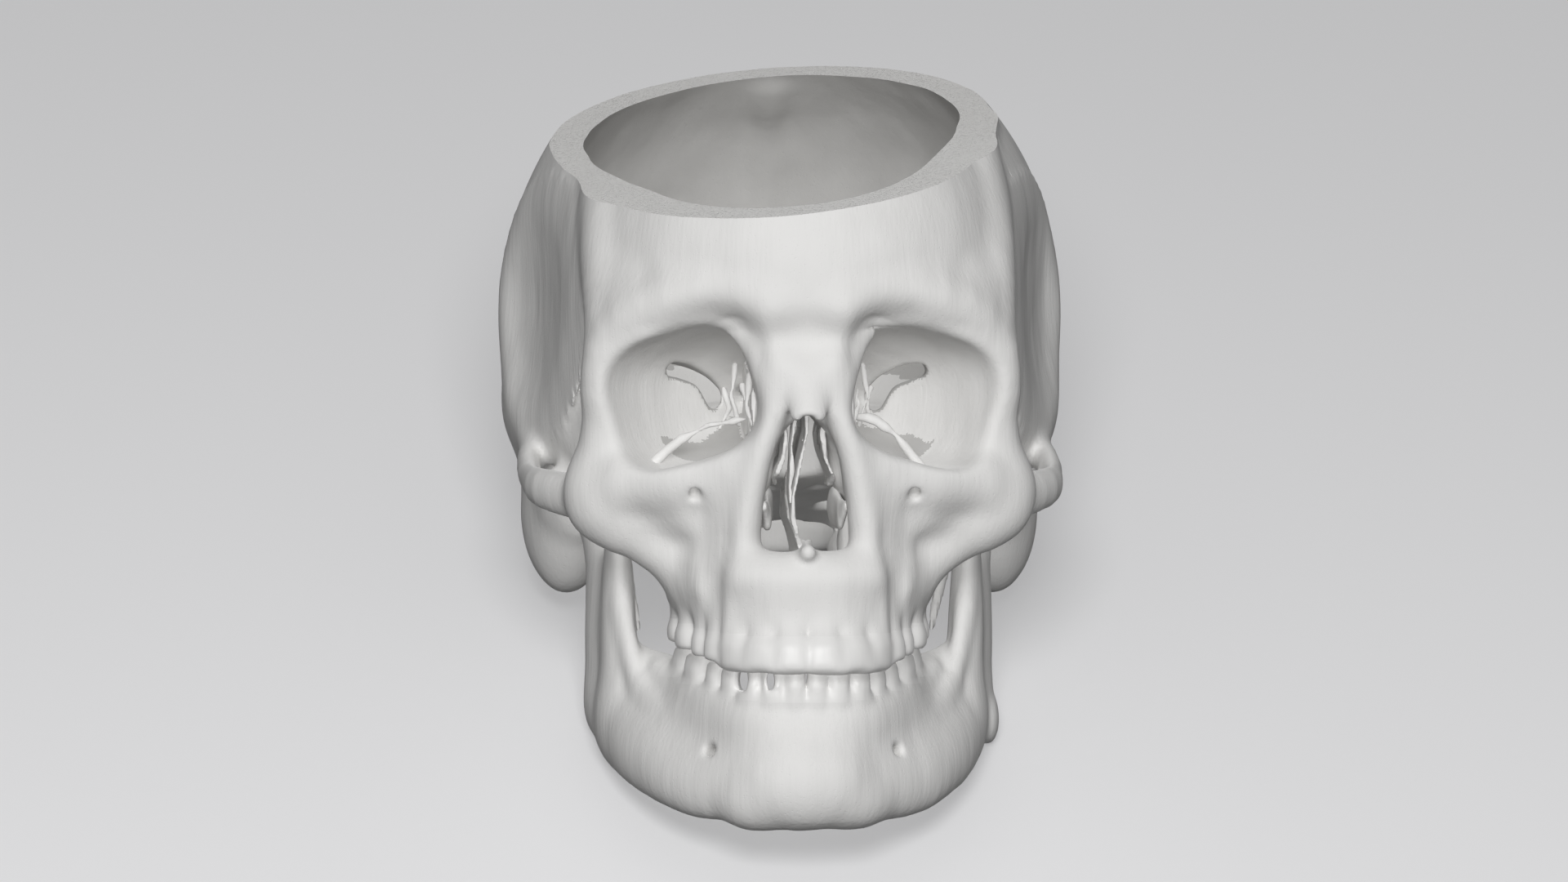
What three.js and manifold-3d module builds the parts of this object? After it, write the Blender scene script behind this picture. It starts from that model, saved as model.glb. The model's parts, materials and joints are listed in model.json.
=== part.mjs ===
// A dry human skull whose top has been sawn off, as an assembly of its separate bones and teeth.
// Millimetres. The skull is drawn upright in its ear-eye frame: x to its left, y backwards, z up, with the
// origin midway between the ears, and is then leaned back until it rests on its jaw and its occiput.
import * as THREE from "three";
import { edgeTable, triTable } from "three/addons/objects/MarchingCubes.js";
import { mergeVertices, toCreasedNormals } from "three/addons/utils/BufferGeometryUtils.js";
import Module from "manifold-3d";

const wasm = await Module();
wasm.setup();

// Driving sizes. Places are written as shares of these three: x of the span, y of the base, z of the rise.
const condyleSpan = 100; // between the centres of the two jaw condyles
const baseLength = 100; // from the front edge of the foramen magnum to the root of the nose
const vaultRise = 100; // from the ear-eye plane to the back of the saw cut

// Working sizes of the surface and its fits.
const gridStep = 2.3;
const sawReserve = 3; // kept above the saw cut until the cut is made
const sutureGap = 0.3;
const socketClearance = 0.3;
const surfaceTolerance = 0.25;
const trimTolerance = 0.04;
const weldDistance = 0.002;
const reach = 260; // longer than the skull, for cutters that pass right through

// The saw cut: its height over the ears, its rise towards the back and its roll to the left.
const sawHeight = 87.1;
const sawSlope = THREE.MathUtils.degToRad(13);
const sawRoll = THREE.MathUtils.degToRad(5.8);

const place = (shares) =>
  new THREE.Vector3(
    shares[0] * condyleSpan,
    shares[1] * baseLength,
    shares[2] * vaultRise,
  );

// Forms of the braincase and face, in order. Each row: what it does, how softly (share of the base length),
// which form, then places and radii as shares. A chain runs through its places, each with its own radii.
// Every form is repeated on the other side.
const craniumShares = [
  // braincase
  ["add", 0.1, "egg", [0, -0.03, 0.38], [0.713, 0.905, 0.785]],
  ["add", 0.1, "ball", [0, -0.45, 0.52], [0.54, 0.515, 0.5]],
  ["cut", 0.08, "under", [0, 0.4, -0.25], [0, -0.7, 0.17]],
  ["add", 0.06, "ball", [0, 0.8, 0.05], [0.08, 0.045, 0.04]],
  ["add", 0.1, "ball", [0.5, 0.1, 0.12], [0.19, 0.33, 0.17]],
  ["cut", 0.08, "ball", [0.64, -0.54, 0.1], [0.13, 0.19, 0.26]],
  // mastoid, ear and joint region
  ["add", 0.07, "ball", [0.545, 0.14, -0.125], [0.115, 0.145, 0.215]],
  ["add", 0.05, "ball", [0.5, 0.015, -0.1], [0.11, 0.045, 0.09]],
  ["add", 0.04, "ball", [0.53, -0.25, -0.05], [0.1, 0.05, 0.055]],
  ["add", 0.03, "ball", [0.17, 0.08, -0.23], [0.06, 0.11, 0.055]],
  // brow and outer corner of the orbit
  [
    "add", 0.07, "chain", [0.1, -0.91, 0.385], [0.06, 0.05, 0.055], [0.34, -0.845, 0.4], [0.055, 0.05, 0.05],
    [0.48, -0.745, 0.3], [0.05, 0.05, 0.05], [0.51, -0.71, 0.18], [0.042, 0.055, 0.05],
  ],
  ["add", 0.05, "chain", [0.47, -0.7, 0.14], [0.045, 0.06, 0.15], [0.4, -0.54, 0.12], [0.05, 0.06, 0.15]],
  // corner of the forehead with the temporal line, and the furrow behind it
  [
    "add", 0.1, "chain", [0.46, -0.62, 0.48], [0.07, 0.08, 0.1], [0.45, -0.52, 0.66], [0.08, 0.09, 0.1],
    [0.43, -0.44, 0.84], [0.08, 0.09, 0.1],
  ],
  [
    "cut", 0.06, "chain", [0.6, -0.53, 0.36], [0.05, 0.07, 0.08], [0.59, -0.46, 0.56], [0.045, 0.07, 0.08],
    [0.58, -0.36, 0.77], [0.04, 0.07, 0.07],
  ],
  // cheek bone and arch
  ["add", 0.05, "ball", [0.47, -0.7, -0.09], [0.13, 0.105, 0.13]],
  ["add", 0.04, "chain", [0.52, -0.66, -0.05], [0.05, 0.065, 0.05], [0.5, -0.705, 0.22], [0.042, 0.055, 0.05]],
  [
    "add", 0.04, "chain", [0.53, -0.63, -0.08], [0.04, 0.05, 0.06], [0.64, -0.47, -0.055], [0.03, 0.04, 0.05],
    [0.665, -0.32, -0.03], [0.027, 0.04, 0.043], [0.66, -0.18, 0.01], [0.03, 0.04, 0.045],
    [0.63, -0.05, 0.05], [0.035, 0.04, 0.04],
  ],
  ["add", 0.05, "chain", [0.44, -0.71, -0.15], [0.05, 0.06, 0.06], [0.3, -0.71, -0.24], [0.05, 0.07, 0.07]],
  // upper jaw
  ["add", 0.06, "ball", [0.25, -0.72, -0.1], [0.19, 0.155, 0.22]],
  ["add", 0.05, "chain", [0.2, -0.84, -0.05], [0.05, 0.05, 0.06], [0.43, -0.775, -0.075], [0.05, 0.05, 0.06]],
  [
    "add", 0.04, "chain", [0.07, -0.91, 0.28], [0.04, 0.05, 0.05], [0.085, -0.915, 0.15], [0.034, 0.045, 0.05],
    [0.12, -0.9, 0.04], [0.035, 0.05, 0.05], [0.155, -0.865, -0.1], [0.045, 0.07, 0.05],
  ],
  [
    "add", 0.05, "chain", [0, -0.905, 0.31], [0.06, 0.045, 0.04], [0, -0.945, 0.22], [0.06, 0.035, 0.04],
    [0, -0.985, 0.145], [0.052, 0.03, 0.03],
  ],
  [
    "add", 0.04, "chain", [0, -0.935, -0.32], [0.055, 0.052, 0.125], [0.1, -0.925, -0.32], [0.055, 0.055, 0.125],
    [0.17, -0.875, -0.325], [0.058, 0.055, 0.115], [0.225, -0.775, -0.31], [0.062, 0.055, 0.1],
    [0.265, -0.66, -0.3], [0.062, 0.055, 0.1], [0.275, -0.545, -0.285], [0.062, 0.05, 0.1],
  ],
  ["add", 0.03, "chain", [0, -0.9, -0.27], [0.21, 0.1, 0.045], [0, -0.55, -0.275], [0.23, 0.03, 0.035]],
  ["add", 0.02, "chain", [0, -0.92, -0.225], [0.03, 0.03, 0.03], [0, -0.985, -0.21], [0.022, 0.022, 0.022]],
  // plates behind the palate
  ["add", 0.03, "chain", [0.125, -0.45, -0.04], [0.025, 0.05, 0.03], [0.135, -0.475, -0.34], [0.023, 0.04, 0.02]],
  ["add", 0.03, "chain", [0.15, -0.42, -0.04], [0.025, 0.06, 0.03], [0.21, -0.37, -0.28], [0.022, 0.05, 0.02]],
  // brain space
  ["cut", 0.04, "dome", [0, -0.03, 0.385], [0.64, 0.84, 0.715], [0, -0.5, 0.26], [0, 0.34, -0.12]],
  ["cut", 0.04, "dome", [0, -0.45, 0.5], [0.47, 0.445, 0.47], [0, -0.5, 0.3], [0, 0.34, -0.12]],
  ["cut", 0.04, "ball", [0.31, -0.24, 0.18], [0.2, 0.2, 0.185]],
  ["cut", 0.05, "ball", [0.17, 0.34, 0.08], [0.3, 0.28, 0.25]],
  ["cut", 0.05, "ball", [0, 0.06, 0.03], [0.16, 0.15, 0.17]],
  ["cut", 0.03, "chain", [0, 0.215, -0.42], [0.15, 0.178, 0.1], [0, 0.195, 0.02], [0.15, 0.178, 0.1]],
  ["add", 0.06, "chain", [0.56, 0.06, 0.05], [0.07, 0.07, 0.08], [0.15, -0.17, 0.02], [0.05, 0.05, 0.07]],
  ["add", 0.03, "chain", [0, -0.82, 0.42], [0.028, 0.05, 0.06], [0, -0.62, 0.31], [0.025, 0.05, 0.05]],
  ["add", 0.04, "ball", [0.3, -0.62, 0.27], [0.22, 0.26, 0.1]],
  // orbits and nose
  ["cut", 0.02, "orbit", [0.335, -0.84, 0.155], [0.13, -0.4, 0.14], [0.203, 0.172]],
  ["cut", 0.02, "chain", [0.245, -0.56, 0.2], [0.07, 0.03, 0.033], [0.26, -0.38, 0.2], [0.07, 0.03, 0.033]],
  ["cut", 0.02, "chain", [0.37, -0.61, 0.06], [0.024, 0.024, 0.034], [0.23, -0.48, 0.07], [0.024, 0.024, 0.034]],
  ["cut", 0.04, "chain", [0, -1.3, -0.105], [0.122, 0.05, 0.09], [0, -0.44, -0.12], [0.125, 0.02, 0.11]],
  ["cut", 0.03, "chain", [0, -1.3, -0.02], [0.1, 0.05, 0.1], [0, -0.8, -0.02], [0.1, 0.05, 0.1]],
  ["cut", 0.03, "chain", [0, -1.3, 0.05], [0.058, 0.05, 0.09], [0, -0.8, 0.05], [0.06, 0.05, 0.09]],
  ["cut", 0.03, "chain", [0, -0.88, 0.03], [0.05, 0.04, 0.15], [0, -0.56, 0.05], [0.055, 0.03, 0.13]],
  // joint hollow and ear canal
  ["cut", 0.02, "ball", [0.5, -0.12, -0.045], [0.12, 0.082, 0.082]],
  ["cut", 0.02, "ball", [0.49, -0.08, -0.14], [0.1, 0.062, 0.075]],
  ["cut", 0.01, "chain", [0.8, -0.01, -0.045], [0.04, 0.034, 0.042], [0.45, 0.0, -0.045], [0.04, 0.034, 0.042]],
];

// Forms of the lower jaw, as above.
const mandibleShares = [
  // tooth-bearing part
  [
    "add", 0.04, "chain", [0, -0.885, -0.65], [0.05, 0.048, 0.075], [0.08, -0.875, -0.65], [0.05, 0.05, 0.075],
    [0.145, -0.84, -0.64], [0.052, 0.05, 0.075], [0.205, -0.755, -0.615], [0.055, 0.05, 0.08],
    [0.255, -0.65, -0.59], [0.058, 0.05, 0.08], [0.295, -0.53, -0.565], [0.055, 0.05, 0.08],
    [0.38, -0.41, -0.54], [0.045, 0.05, 0.08],
  ],
  // body
  [
    "add", 0.05, "chain", [0, -0.885, -0.74], [0.05, 0.05, 0.08], [0.1, -0.875, -0.74], [0.05, 0.05, 0.08],
    [0.19, -0.785, -0.72], [0.052, 0.05, 0.08], [0.285, -0.66, -0.69], [0.052, 0.05, 0.08],
    [0.345, -0.53, -0.65], [0.05, 0.05, 0.08], [0.42, -0.38, -0.6], [0.042, 0.06, 0.08],
  ],
  // lower border
  [
    "add", 0.06, "chain", [0, -0.89, -0.825], [0.065, 0.06, 0.09], [0.12, -0.88, -0.83], [0.065, 0.06, 0.085],
    [0.23, -0.79, -0.82], [0.06, 0.06, 0.085], [0.33, -0.66, -0.785], [0.056, 0.06, 0.085],
    [0.4, -0.51, -0.725], [0.053, 0.06, 0.085], [0.45, -0.35, -0.67], [0.045, 0.06, 0.09],
    [0.475, -0.215, -0.615], [0.036, 0.075, 0.08],
  ],
  // ramus, with its two points
  [
    "add", 0.05, "chain", [0.43, -0.37, -0.6], [0.042, 0.07, 0.08], [0.445, -0.375, -0.24], [0.032, 0.065, 0.06],
    [0.455, -0.395, -0.08], [0.022, 0.03, 0.03],
  ],
  [
    "add", 0.04, "chain", [0.475, -0.215, -0.6], [0.036, 0.07, 0.07], [0.475, -0.195, -0.26],
    [0.036, 0.06, 0.06], [0.5, -0.13, -0.07], [0.06, 0.036, 0.04],
  ],
  ["add", 0.04, "chain", [0.445, -0.36, -0.42], [0.032, 0.05, 0.2], [0.475, -0.21, -0.42], [0.034, 0.05, 0.2]],
  ["add", 0.02, "ball", [0.5, -0.12, -0.03], [0.09, 0.045, 0.042]],
  // chin
  ["add", 0.05, "ball", [0, -0.93, -0.82], [0.12, 0.045, 0.08]],
  ["add", 0.04, "ball", [0.12, -0.91, -0.875], [0.055, 0.04, 0.045]],
];

// Blends of distances: the union, or the intersection, of two forms rounded over a width.
const blendUnion = (a, b, width) => {
  const share = Math.max(width - Math.abs(a - b), 0) / width;
  return Math.min(a, b) - (share * share * width) / 4;
};
const blendBoth = (a, b, width) => -blendUnion(-a, -b, width);

// Distance forms: negative inside, growing by about one for each millimetre outside.
const scaledDistance = (px, py, pz, rx, ry, rz) => {
  const near = Math.hypot(px / rx, py / ry, pz / rz);
  const slope = Math.hypot(px / (rx * rx), py / (ry * ry), pz / (rz * rz));
  return slope === 0 ? -Math.min(rx, ry, rz) : (near * (near - 1)) / slope;
};

const eggBackShare = 0.11; // how much wider the egg grows towards the back, over one base length
const eggFrontShare = 0.18; // and how much narrower towards the front
const eggWidth = (y) => 1 + (y > 0 ? eggBackShare : eggFrontShare) * (y / baseLength);

const ball = ([centreShares, radiiShares]) => {
  const c = place(centreShares);
  const r = place(radiiShares);
  return (x, y, z) => scaledDistance(x - c.x, y - c.y, z - c.z, r.x, r.y, r.z);
};

const egg = (rows) => {
  const plain = ball(rows);
  return (x, y, z) => plain(x / eggWidth(y), y, z);
};

const under = ([pointShares, alongShares]) => {
  const point = place(pointShares);
  const along = place(alongShares).normalize();
  return (x, y, z) => (y - point.y) * along.z - (z - point.z) * along.y;
};

const dome = ([centreShares, radiiShares, pointShares, alongShares]) => {
  const whole = egg([centreShares, radiiShares]);
  const floor = under([pointShares, alongShares]);
  return (x, y, z) => Math.max(whole(x, y, z), floor(x, y, z));
};

const chain = (rows) => {
  const stations = [];
  for (let n = 0; n < rows.length; n += 2) stations.push([place(rows[n]), place(rows[n + 1])]);
  const links = stations.slice(1).map(([b, rb], n) => {
    const [a, ra] = stations[n];
    const along = b.clone().sub(a);
    return { a, ra, along, more: rb.clone().sub(ra), lengthSquared: along.lengthSq() };
  });
  return (x, y, z) => {
    let nearest = reach;
    for (const { a, ra, along, more, lengthSquared } of links) {
      const [dx, dy, dz] = [x - a.x, y - a.y, z - a.z];
      const dot = dx * along.x + dy * along.y + dz * along.z;
      const t = Math.min(Math.max(dot / lengthSquared, 0), 1);
      const distance = scaledDistance(
        dx - t * along.x,
        dy - t * along.y,
        dz - t * along.z,
        ra.x + t * more.x,
        ra.y + t * more.y,
        ra.z + t * more.z,
      );
      nearest = Math.min(nearest, distance);
    }
    return nearest;
  };
};

// The orbit: a rounded square that droops to the side and narrows towards its apex.
const orbitDroop = THREE.MathUtils.degToRad(12);
const orbitSquareness = 3;
const orbitNarrowing = 1.6;
const orbitReachShare = 1.08; // the apex of the taper, past the apex of the axis
const orbitLeastShare = 0.02;
const orbit = ([rimShares, apexShares, halfShares]) => {
  const rim = place(rimShares);
  const apex = place(apexShares);
  const halfWide = halfShares[0] * condyleSpan;
  const halfTall = halfShares[1] * vaultRise;
  const depth = (apex.y - rim.y) * orbitReachShare;
  const turnCos = Math.cos(orbitDroop);
  const turnSin = Math.sin(orbitDroop);
  return (x, y, z) => {
    const along = (y - rim.y) / (apex.y - rim.y);
    const inward = Math.min(Math.max(along, 0), 1);
    const dx = x - (rim.x + inward * (apex.x - rim.x));
    const dz = z - (rim.z + inward * (apex.z - rim.z));
    const deep = Math.min(Math.max((y - rim.y) / depth, 0), 1);
    const left = Math.max(1 - deep ** orbitNarrowing, orbitLeastShare);
    const u = Math.abs(dx * turnCos - dz * turnSin) / (halfWide * left);
    const v = Math.abs(dx * turnSin + dz * turnCos) / (halfTall * left);
    const near = (u ** orbitSquareness + v ** orbitSquareness) ** (1 / orbitSquareness);
    const side = (near - 1) * Math.min(halfWide, halfTall) * left;
    return Math.max(side, y - rim.y - depth);
  };
};

const forms = { ball, egg, under, dome, chain, orbit };

const fieldOf = (rows) => {
  const steps = rows.map(([act, blendShare, form, ...places]) => ({
    act,
    width: blendShare * baseLength,
    distance: forms[form](places),
  }));
  return (x, y, z) => {
    const side = Math.abs(x);
    let value = reach;
    for (const { act, width, distance } of steps) {
      const d = distance(side, y, z);
      value = act === "add" ? blendUnion(value, d, width) : blendBoth(value, -d, width);
    }
    return value;
  };
};

// Plain meshes: { points: [x, y, z, ...], faces: [a, b, c, ...] }.
const volumeOf = ({ points, faces }) => {
  let sum = 0;
  for (let f = 0; f < faces.length; f += 3) {
    const [a, b, c] = [faces[f] * 3, faces[f + 1] * 3, faces[f + 2] * 3];
    sum +=
      points[a] * (points[b + 1] * points[c + 2] - points[b + 2] * points[c + 1]) +
      points[a + 1] * (points[b + 2] * points[c] - points[b] * points[c + 2]) +
      points[a + 2] * (points[b] * points[c + 1] - points[b + 1] * points[c]);
  }
  return sum / 6;
};

// The skin of a field inside a box of grid cells, by the cube tables.
const cornerOffsets = [
  [0, 0, 0],
  [1, 0, 0],
  [1, 1, 0],
  [0, 1, 0],
  [0, 0, 1],
  [1, 0, 1],
  [1, 1, 1],
  [0, 1, 1],
];
const edgeCorners = [
  [0, 1],
  [1, 2],
  [2, 3],
  [3, 0],
  [4, 5],
  [5, 6],
  [6, 7],
  [7, 4],
  [0, 4],
  [1, 5],
  [2, 6],
  [3, 7],
];
const leastValue = 0.02; // keeps every crossing off the grid points

const skinOf = (field, lowShares, highShares) => {
  const low = place(lowShares).divideScalar(gridStep).floor();
  const high = place(highShares).divideScalar(gridStep).ceil();
  const [nx, ny, nz] = [high.x - low.x + 1, high.y - low.y + 1, high.z - low.z + 1];
  const at = (i, j, k) => (k * ny + j) * nx + i;
  const values = new Float64Array(nx * ny * nz);
  for (let k = 0; k < nz; k += 1) {
    for (let j = 0; j < ny; j += 1) {
      for (let i = 0; i < nx; i += 1) {
        const edge = !i || !j || !k || i === nx - 1 || j === ny - 1 || k === nz - 1;
        const d = field((i + low.x) * gridStep, (j + low.y) * gridStep, (k + low.z) * gridStep);
        const kept = edge ? Math.max(d, leastValue) : d;
        values[at(i, j, k)] = Math.abs(kept) < leastValue ? leastValue : kept;
      }
    }
  }
  const points = [];
  const faces = [];
  const known = new Map();
  const crossing = (cell, edge) => {
    const [from, to] = edgeCorners[edge].map((corner) =>
      cell.map((n, axis) => n + cornerOffsets[corner][axis]),
    );
    const [a, b] = [at(...from), at(...to)];
    const key = Math.min(a, b) * values.length + Math.max(a, b);
    if (known.has(key)) return known.get(key);
    const t = values[a] / (values[a] - values[b]);
    const base = low.toArray();
    for (let axis = 0; axis < 3; axis += 1) {
      points.push((base[axis] + from[axis] + t * (to[axis] - from[axis])) * gridStep);
    }
    known.set(key, points.length / 3 - 1);
    return points.length / 3 - 1;
  };
  for (let k = 0; k < nz - 1; k += 1) {
    for (let j = 0; j < ny - 1; j += 1) {
      for (let i = 0; i < nx - 1; i += 1) {
        let index = 0;
        cornerOffsets.forEach(([ox, oy, oz], corner) => {
          if (values[at(i + ox, j + oy, k + oz)] < 0) index |= 1 << corner;
        });
        if (edgeTable[index] === 0) continue;
        for (let n = index * 16; triTable[n] !== -1; n += 1) {
          faces.push(crossing([i, j, k], triTable[n]));
        }
      }
    }
  }
  const skin = { points, faces };
  return volumeOf(skin) < 0 ? turned(skin) : skin;
};

const turned = ({ points, faces }) => {
  const swapped = faces.slice();
  for (let f = 0; f < faces.length; f += 3) {
    [swapped[f + 1], swapped[f + 2]] = [faces[f + 2], faces[f + 1]];
  }
  return { points, faces: swapped };
};

// Edge collapse by quadric error: short work of flat areas, no change of topology.
const terms = 10; // numbers in one quadric
const leastVolume = 1e-6; // below which a quadric has no single best point
const leastArea = 1e-7;
const spanShare = 1e-6; // share of its length that a long edge costs extra
const turnShare = 0.3; // how much of its direction a face keeps at least
const leastRing = 9; // neighbours round an edge, both ends together
const leastFan = 4; // faces round a point
const thin = (mesh, tolerance, mostFaces) => {
  const points = Float64Array.from(mesh.points);
  const faces = Int32Array.from(mesh.faces);
  const pointCount = points.length / 3;
  let alive = faces.length / 3;
  const fans = Array.from({ length: pointCount }, () => []);
  const quadrics = new Float64Array(pointCount * terms);
  const stamps = new Int32Array(pointCount);
  const gone = new Uint8Array(faces.length / 3);

  const normalOf = (a, b, c) => {
    const [ux, uy, uz] = [b[0] - a[0], b[1] - a[1], b[2] - a[2]];
    const [vx, vy, vz] = [c[0] - a[0], c[1] - a[1], c[2] - a[2]];
    return [uy * vz - uz * vy, uz * vx - ux * vz, ux * vy - uy * vx];
  };
  const pointAt = (p) => [points[p * 3], points[p * 3 + 1], points[p * 3 + 2]];
  for (let f = 0; f < alive; f += 1) {
    const corners = [faces[f * 3], faces[f * 3 + 1], faces[f * 3 + 2]];
    const [a, b, c] = corners.map(pointAt);
    const normal = normalOf(a, b, c);
    const area = Math.hypot(...normal);
    const [nx, ny, nz] = normal.map((n) => n / (area || 1));
    const d = -(nx * a[0] + ny * a[1] + nz * a[2]);
    const q = [nx * nx, nx * ny, nx * nz, nx * d, ny * ny, ny * nz, ny * d, nz * nz, nz * d, d * d];
    for (const corner of corners) {
      fans[corner].push(f);
      q.forEach((value, n) => {
        quadrics[corner * terms + n] += value;
      });
    }
  }

  const errorAt = (q, [x, y, z]) =>
    q[0] * x * x +
    2 * q[1] * x * y +
    2 * q[2] * x * z +
    2 * q[3] * x +
    q[4] * y * y +
    2 * q[5] * y * z +
    2 * q[6] * y +
    q[7] * z * z +
    2 * q[8] * z +
    q[9];
  const heap = [];
  const push = (item) => {
    let n = heap.length;
    heap.push(item);
    while (n > 0) {
      const parent = (n - 1) >> 1;
      if (heap[parent].cost <= item.cost) break;
      heap[n] = heap[parent];
      n = parent;
    }
    heap[n] = item;
  };
  const pop = () => {
    const top = heap[0];
    const last = heap.pop();
    if (heap.length === 0) return top;
    let n = 0;
    for (;;) {
      let child = 2 * n + 1;
      if (child >= heap.length) break;
      if (child + 1 < heap.length && heap[child + 1].cost < heap[child].cost) child += 1;
      if (heap[child].cost >= last.cost) break;
      heap[n] = heap[child];
      n = child;
    }
    heap[n] = last;
    return top;
  };
  const offer = (a, b) => {
    const q = [];
    for (let n = 0; n < terms; n += 1) q.push(quadrics[a * terms + n] + quadrics[b * terms + n]);
    const [pa, pb] = [pointAt(a), pointAt(b)];
    const middle = pa.map((value, axis) => (value + pb[axis]) / 2);
    const choices = [middle, pa, pb];
    const span = Math.hypot(pa[0] - pb[0], pa[1] - pb[1], pa[2] - pb[2]);
    const det =
      q[0] * (q[4] * q[7] - q[5] * q[5]) -
      q[1] * (q[1] * q[7] - q[5] * q[2]) +
      q[2] * (q[1] * q[5] - q[4] * q[2]);
    if (Math.abs(det) > leastVolume) {
      const [r, s, t] = [-q[3], -q[6], -q[8]];
      const best = [
        (r * (q[4] * q[7] - q[5] * q[5]) - q[1] * (s * q[7] - q[5] * t) + q[2] * (s * q[5] - q[4] * t)) / det,
        (q[0] * (s * q[7] - t * q[5]) - r * (q[1] * q[7] - q[5] * q[2]) + q[2] * (q[1] * t - s * q[2])) / det,
        (q[0] * (q[4] * t - q[5] * s) - q[1] * (q[1] * t - q[2] * s) + r * (q[1] * q[5] - q[4] * q[2])) / det,
      ];
      if (Math.hypot(...best.map((value, axis) => value - middle[axis])) < span) choices.push(best);
    }
    const costs = choices.map((choice) => Math.max(errorAt(q, choice), 0));
    const least = costs.indexOf(Math.min(...costs));
    const cost = costs[least] + span * span * spanShare;
    push({ cost, error: costs[least], a, b, at: choices[least], stampA: stamps[a], stampB: stamps[b] });
  };

  const neighbours = (p) => {
    const found = new Set();
    for (const f of fans[p]) {
      for (let n = 0; n < 3; n += 1) if (faces[f * 3 + n] !== p) found.add(faces[f * 3 + n]);
    }
    return found;
  };
  const flips = (p, other, target) =>
    fans[p].some((f) => {
      const corners = [faces[f * 3], faces[f * 3 + 1], faces[f * 3 + 2]];
      if (corners.includes(other)) return false;
      const before = normalOf(...corners.map(pointAt));
      const after = normalOf(...corners.map((corner) => (corner === p ? target : pointAt(corner))));
      const dot = before[0] * after[0] + before[1] * after[1] + before[2] * after[2];
      const [sizeBefore, sizeAfter] = [Math.hypot(...before), Math.hypot(...after)];
      return sizeAfter < leastArea || dot < turnShare * sizeBefore * sizeAfter;
    });

  for (let p = 0; p < pointCount; p += 1) {
    for (const q of neighbours(p)) if (p < q) offer(p, q);
  }
  const most = tolerance * tolerance;
  while (heap.length > 0 && alive > mostFaces.least) {
    const { error, a, b, at, stampA, stampB } = pop();
    if (stamps[a] !== stampA || stamps[b] !== stampB) continue;
    if (error > most && alive <= mostFaces.most) break;
    const [nearA, nearB] = [neighbours(a), neighbours(b)];
    const shared = [...nearA].filter((p) => nearB.has(p));
    if (shared.length !== 2 || nearA.size + nearB.size < leastRing) continue;
    if (shared.some((p) => fans[p].length < leastFan)) continue;
    if (flips(a, b, at) || flips(b, a, at)) continue;
    at.forEach((value, axis) => {
      points[a * 3 + axis] = value;
    });
    for (let n = 0; n < terms; n += 1) quadrics[a * terms + n] += quadrics[b * terms + n];
    for (const f of fans[b]) {
      const corners = [faces[f * 3], faces[f * 3 + 1], faces[f * 3 + 2]];
      if (corners.includes(a)) {
        gone[f] = 1;
        alive -= 1;
        for (const corner of corners) if (corner !== b) fans[corner] = fans[corner].filter((g) => g !== f);
      } else {
        faces[f * 3 + corners.indexOf(b)] = a;
        fans[a].push(f);
      }
    }
    fans[b] = [];
    stamps[b] = -1;
    stamps[a] += 1;
    for (const p of neighbours(a)) offer(a, p);
  }

  const kept = { points: [], faces: [] };
  const renamed = new Map();
  for (let f = 0; f < gone.length; f += 1) {
    if (gone[f]) continue;
    for (let n = 0; n < 3; n += 1) {
      const p = faces[f * 3 + n];
      if (!renamed.has(p)) {
        renamed.set(p, renamed.size);
        kept.points.push(...pointAt(p));
      }
      kept.faces.push(renamed.get(p));
    }
  }
  return kept;
};

// Only the largest separate body of a mesh.
const largestBody = ({ points, faces }) => {
  const parent = Array.from({ length: points.length / 3 }, (_, n) => n);
  const root = (n) => {
    let top = n;
    while (parent[top] !== top) top = parent[top];
    while (parent[n] !== top) [parent[n], n] = [top, parent[n]];
    return top;
  };
  for (let f = 0; f < faces.length; f += 3) {
    parent[root(faces[f])] = root(faces[f + 1]);
    parent[root(faces[f + 1])] = root(faces[f + 2]);
  }
  const bodies = new Map();
  for (let f = 0; f < faces.length; f += 3) {
    const name = root(faces[f]);
    if (!bodies.has(name)) bodies.set(name, []);
    bodies.get(name).push(faces[f], faces[f + 1], faces[f + 2]);
  }
  const meshes = [...bodies.values()].map((own) => {
    const renamed = new Map();
    const mesh = { points: [], faces: [] };
    for (const p of own) {
      if (!renamed.has(p)) {
        renamed.set(p, renamed.size);
        mesh.points.push(points[p * 3], points[p * 3 + 1], points[p * 3 + 2]);
      }
      mesh.faces.push(renamed.get(p));
    }
    return mesh;
  });
  return meshes.reduce((best, mesh) => (volumeOf(mesh) > volumeOf(best) ? mesh : best));
};

// To and from the solids that join and cut.
const solidOfMesh = ({ points, faces }) =>
  new wasm.Manifold(
    new wasm.Mesh({
      numProp: 3,
      vertProperties: Float32Array.from(points),
      triVerts: Uint32Array.from(faces),
    }),
  );

const solidOfGeometry = (geometry) => {
  const bare = new THREE.BufferGeometry();
  bare.setAttribute("position", geometry.getAttribute("position"));
  bare.setIndex(geometry.getIndex());
  const welded = mergeVertices(bare, weldDistance);
  const mesh = {
    points: Array.from(welded.getAttribute("position").array),
    faces: Array.from(welded.getIndex().array),
  };
  return solidOfMesh(volumeOf(mesh) < 0 ? turned(mesh) : mesh);
};

const meshOfSolid = (solid) => {
  const { vertProperties, triVerts } = solid.getMesh();
  return { points: Array.from(vertProperties), faces: Array.from(triVerts) };
};

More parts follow.
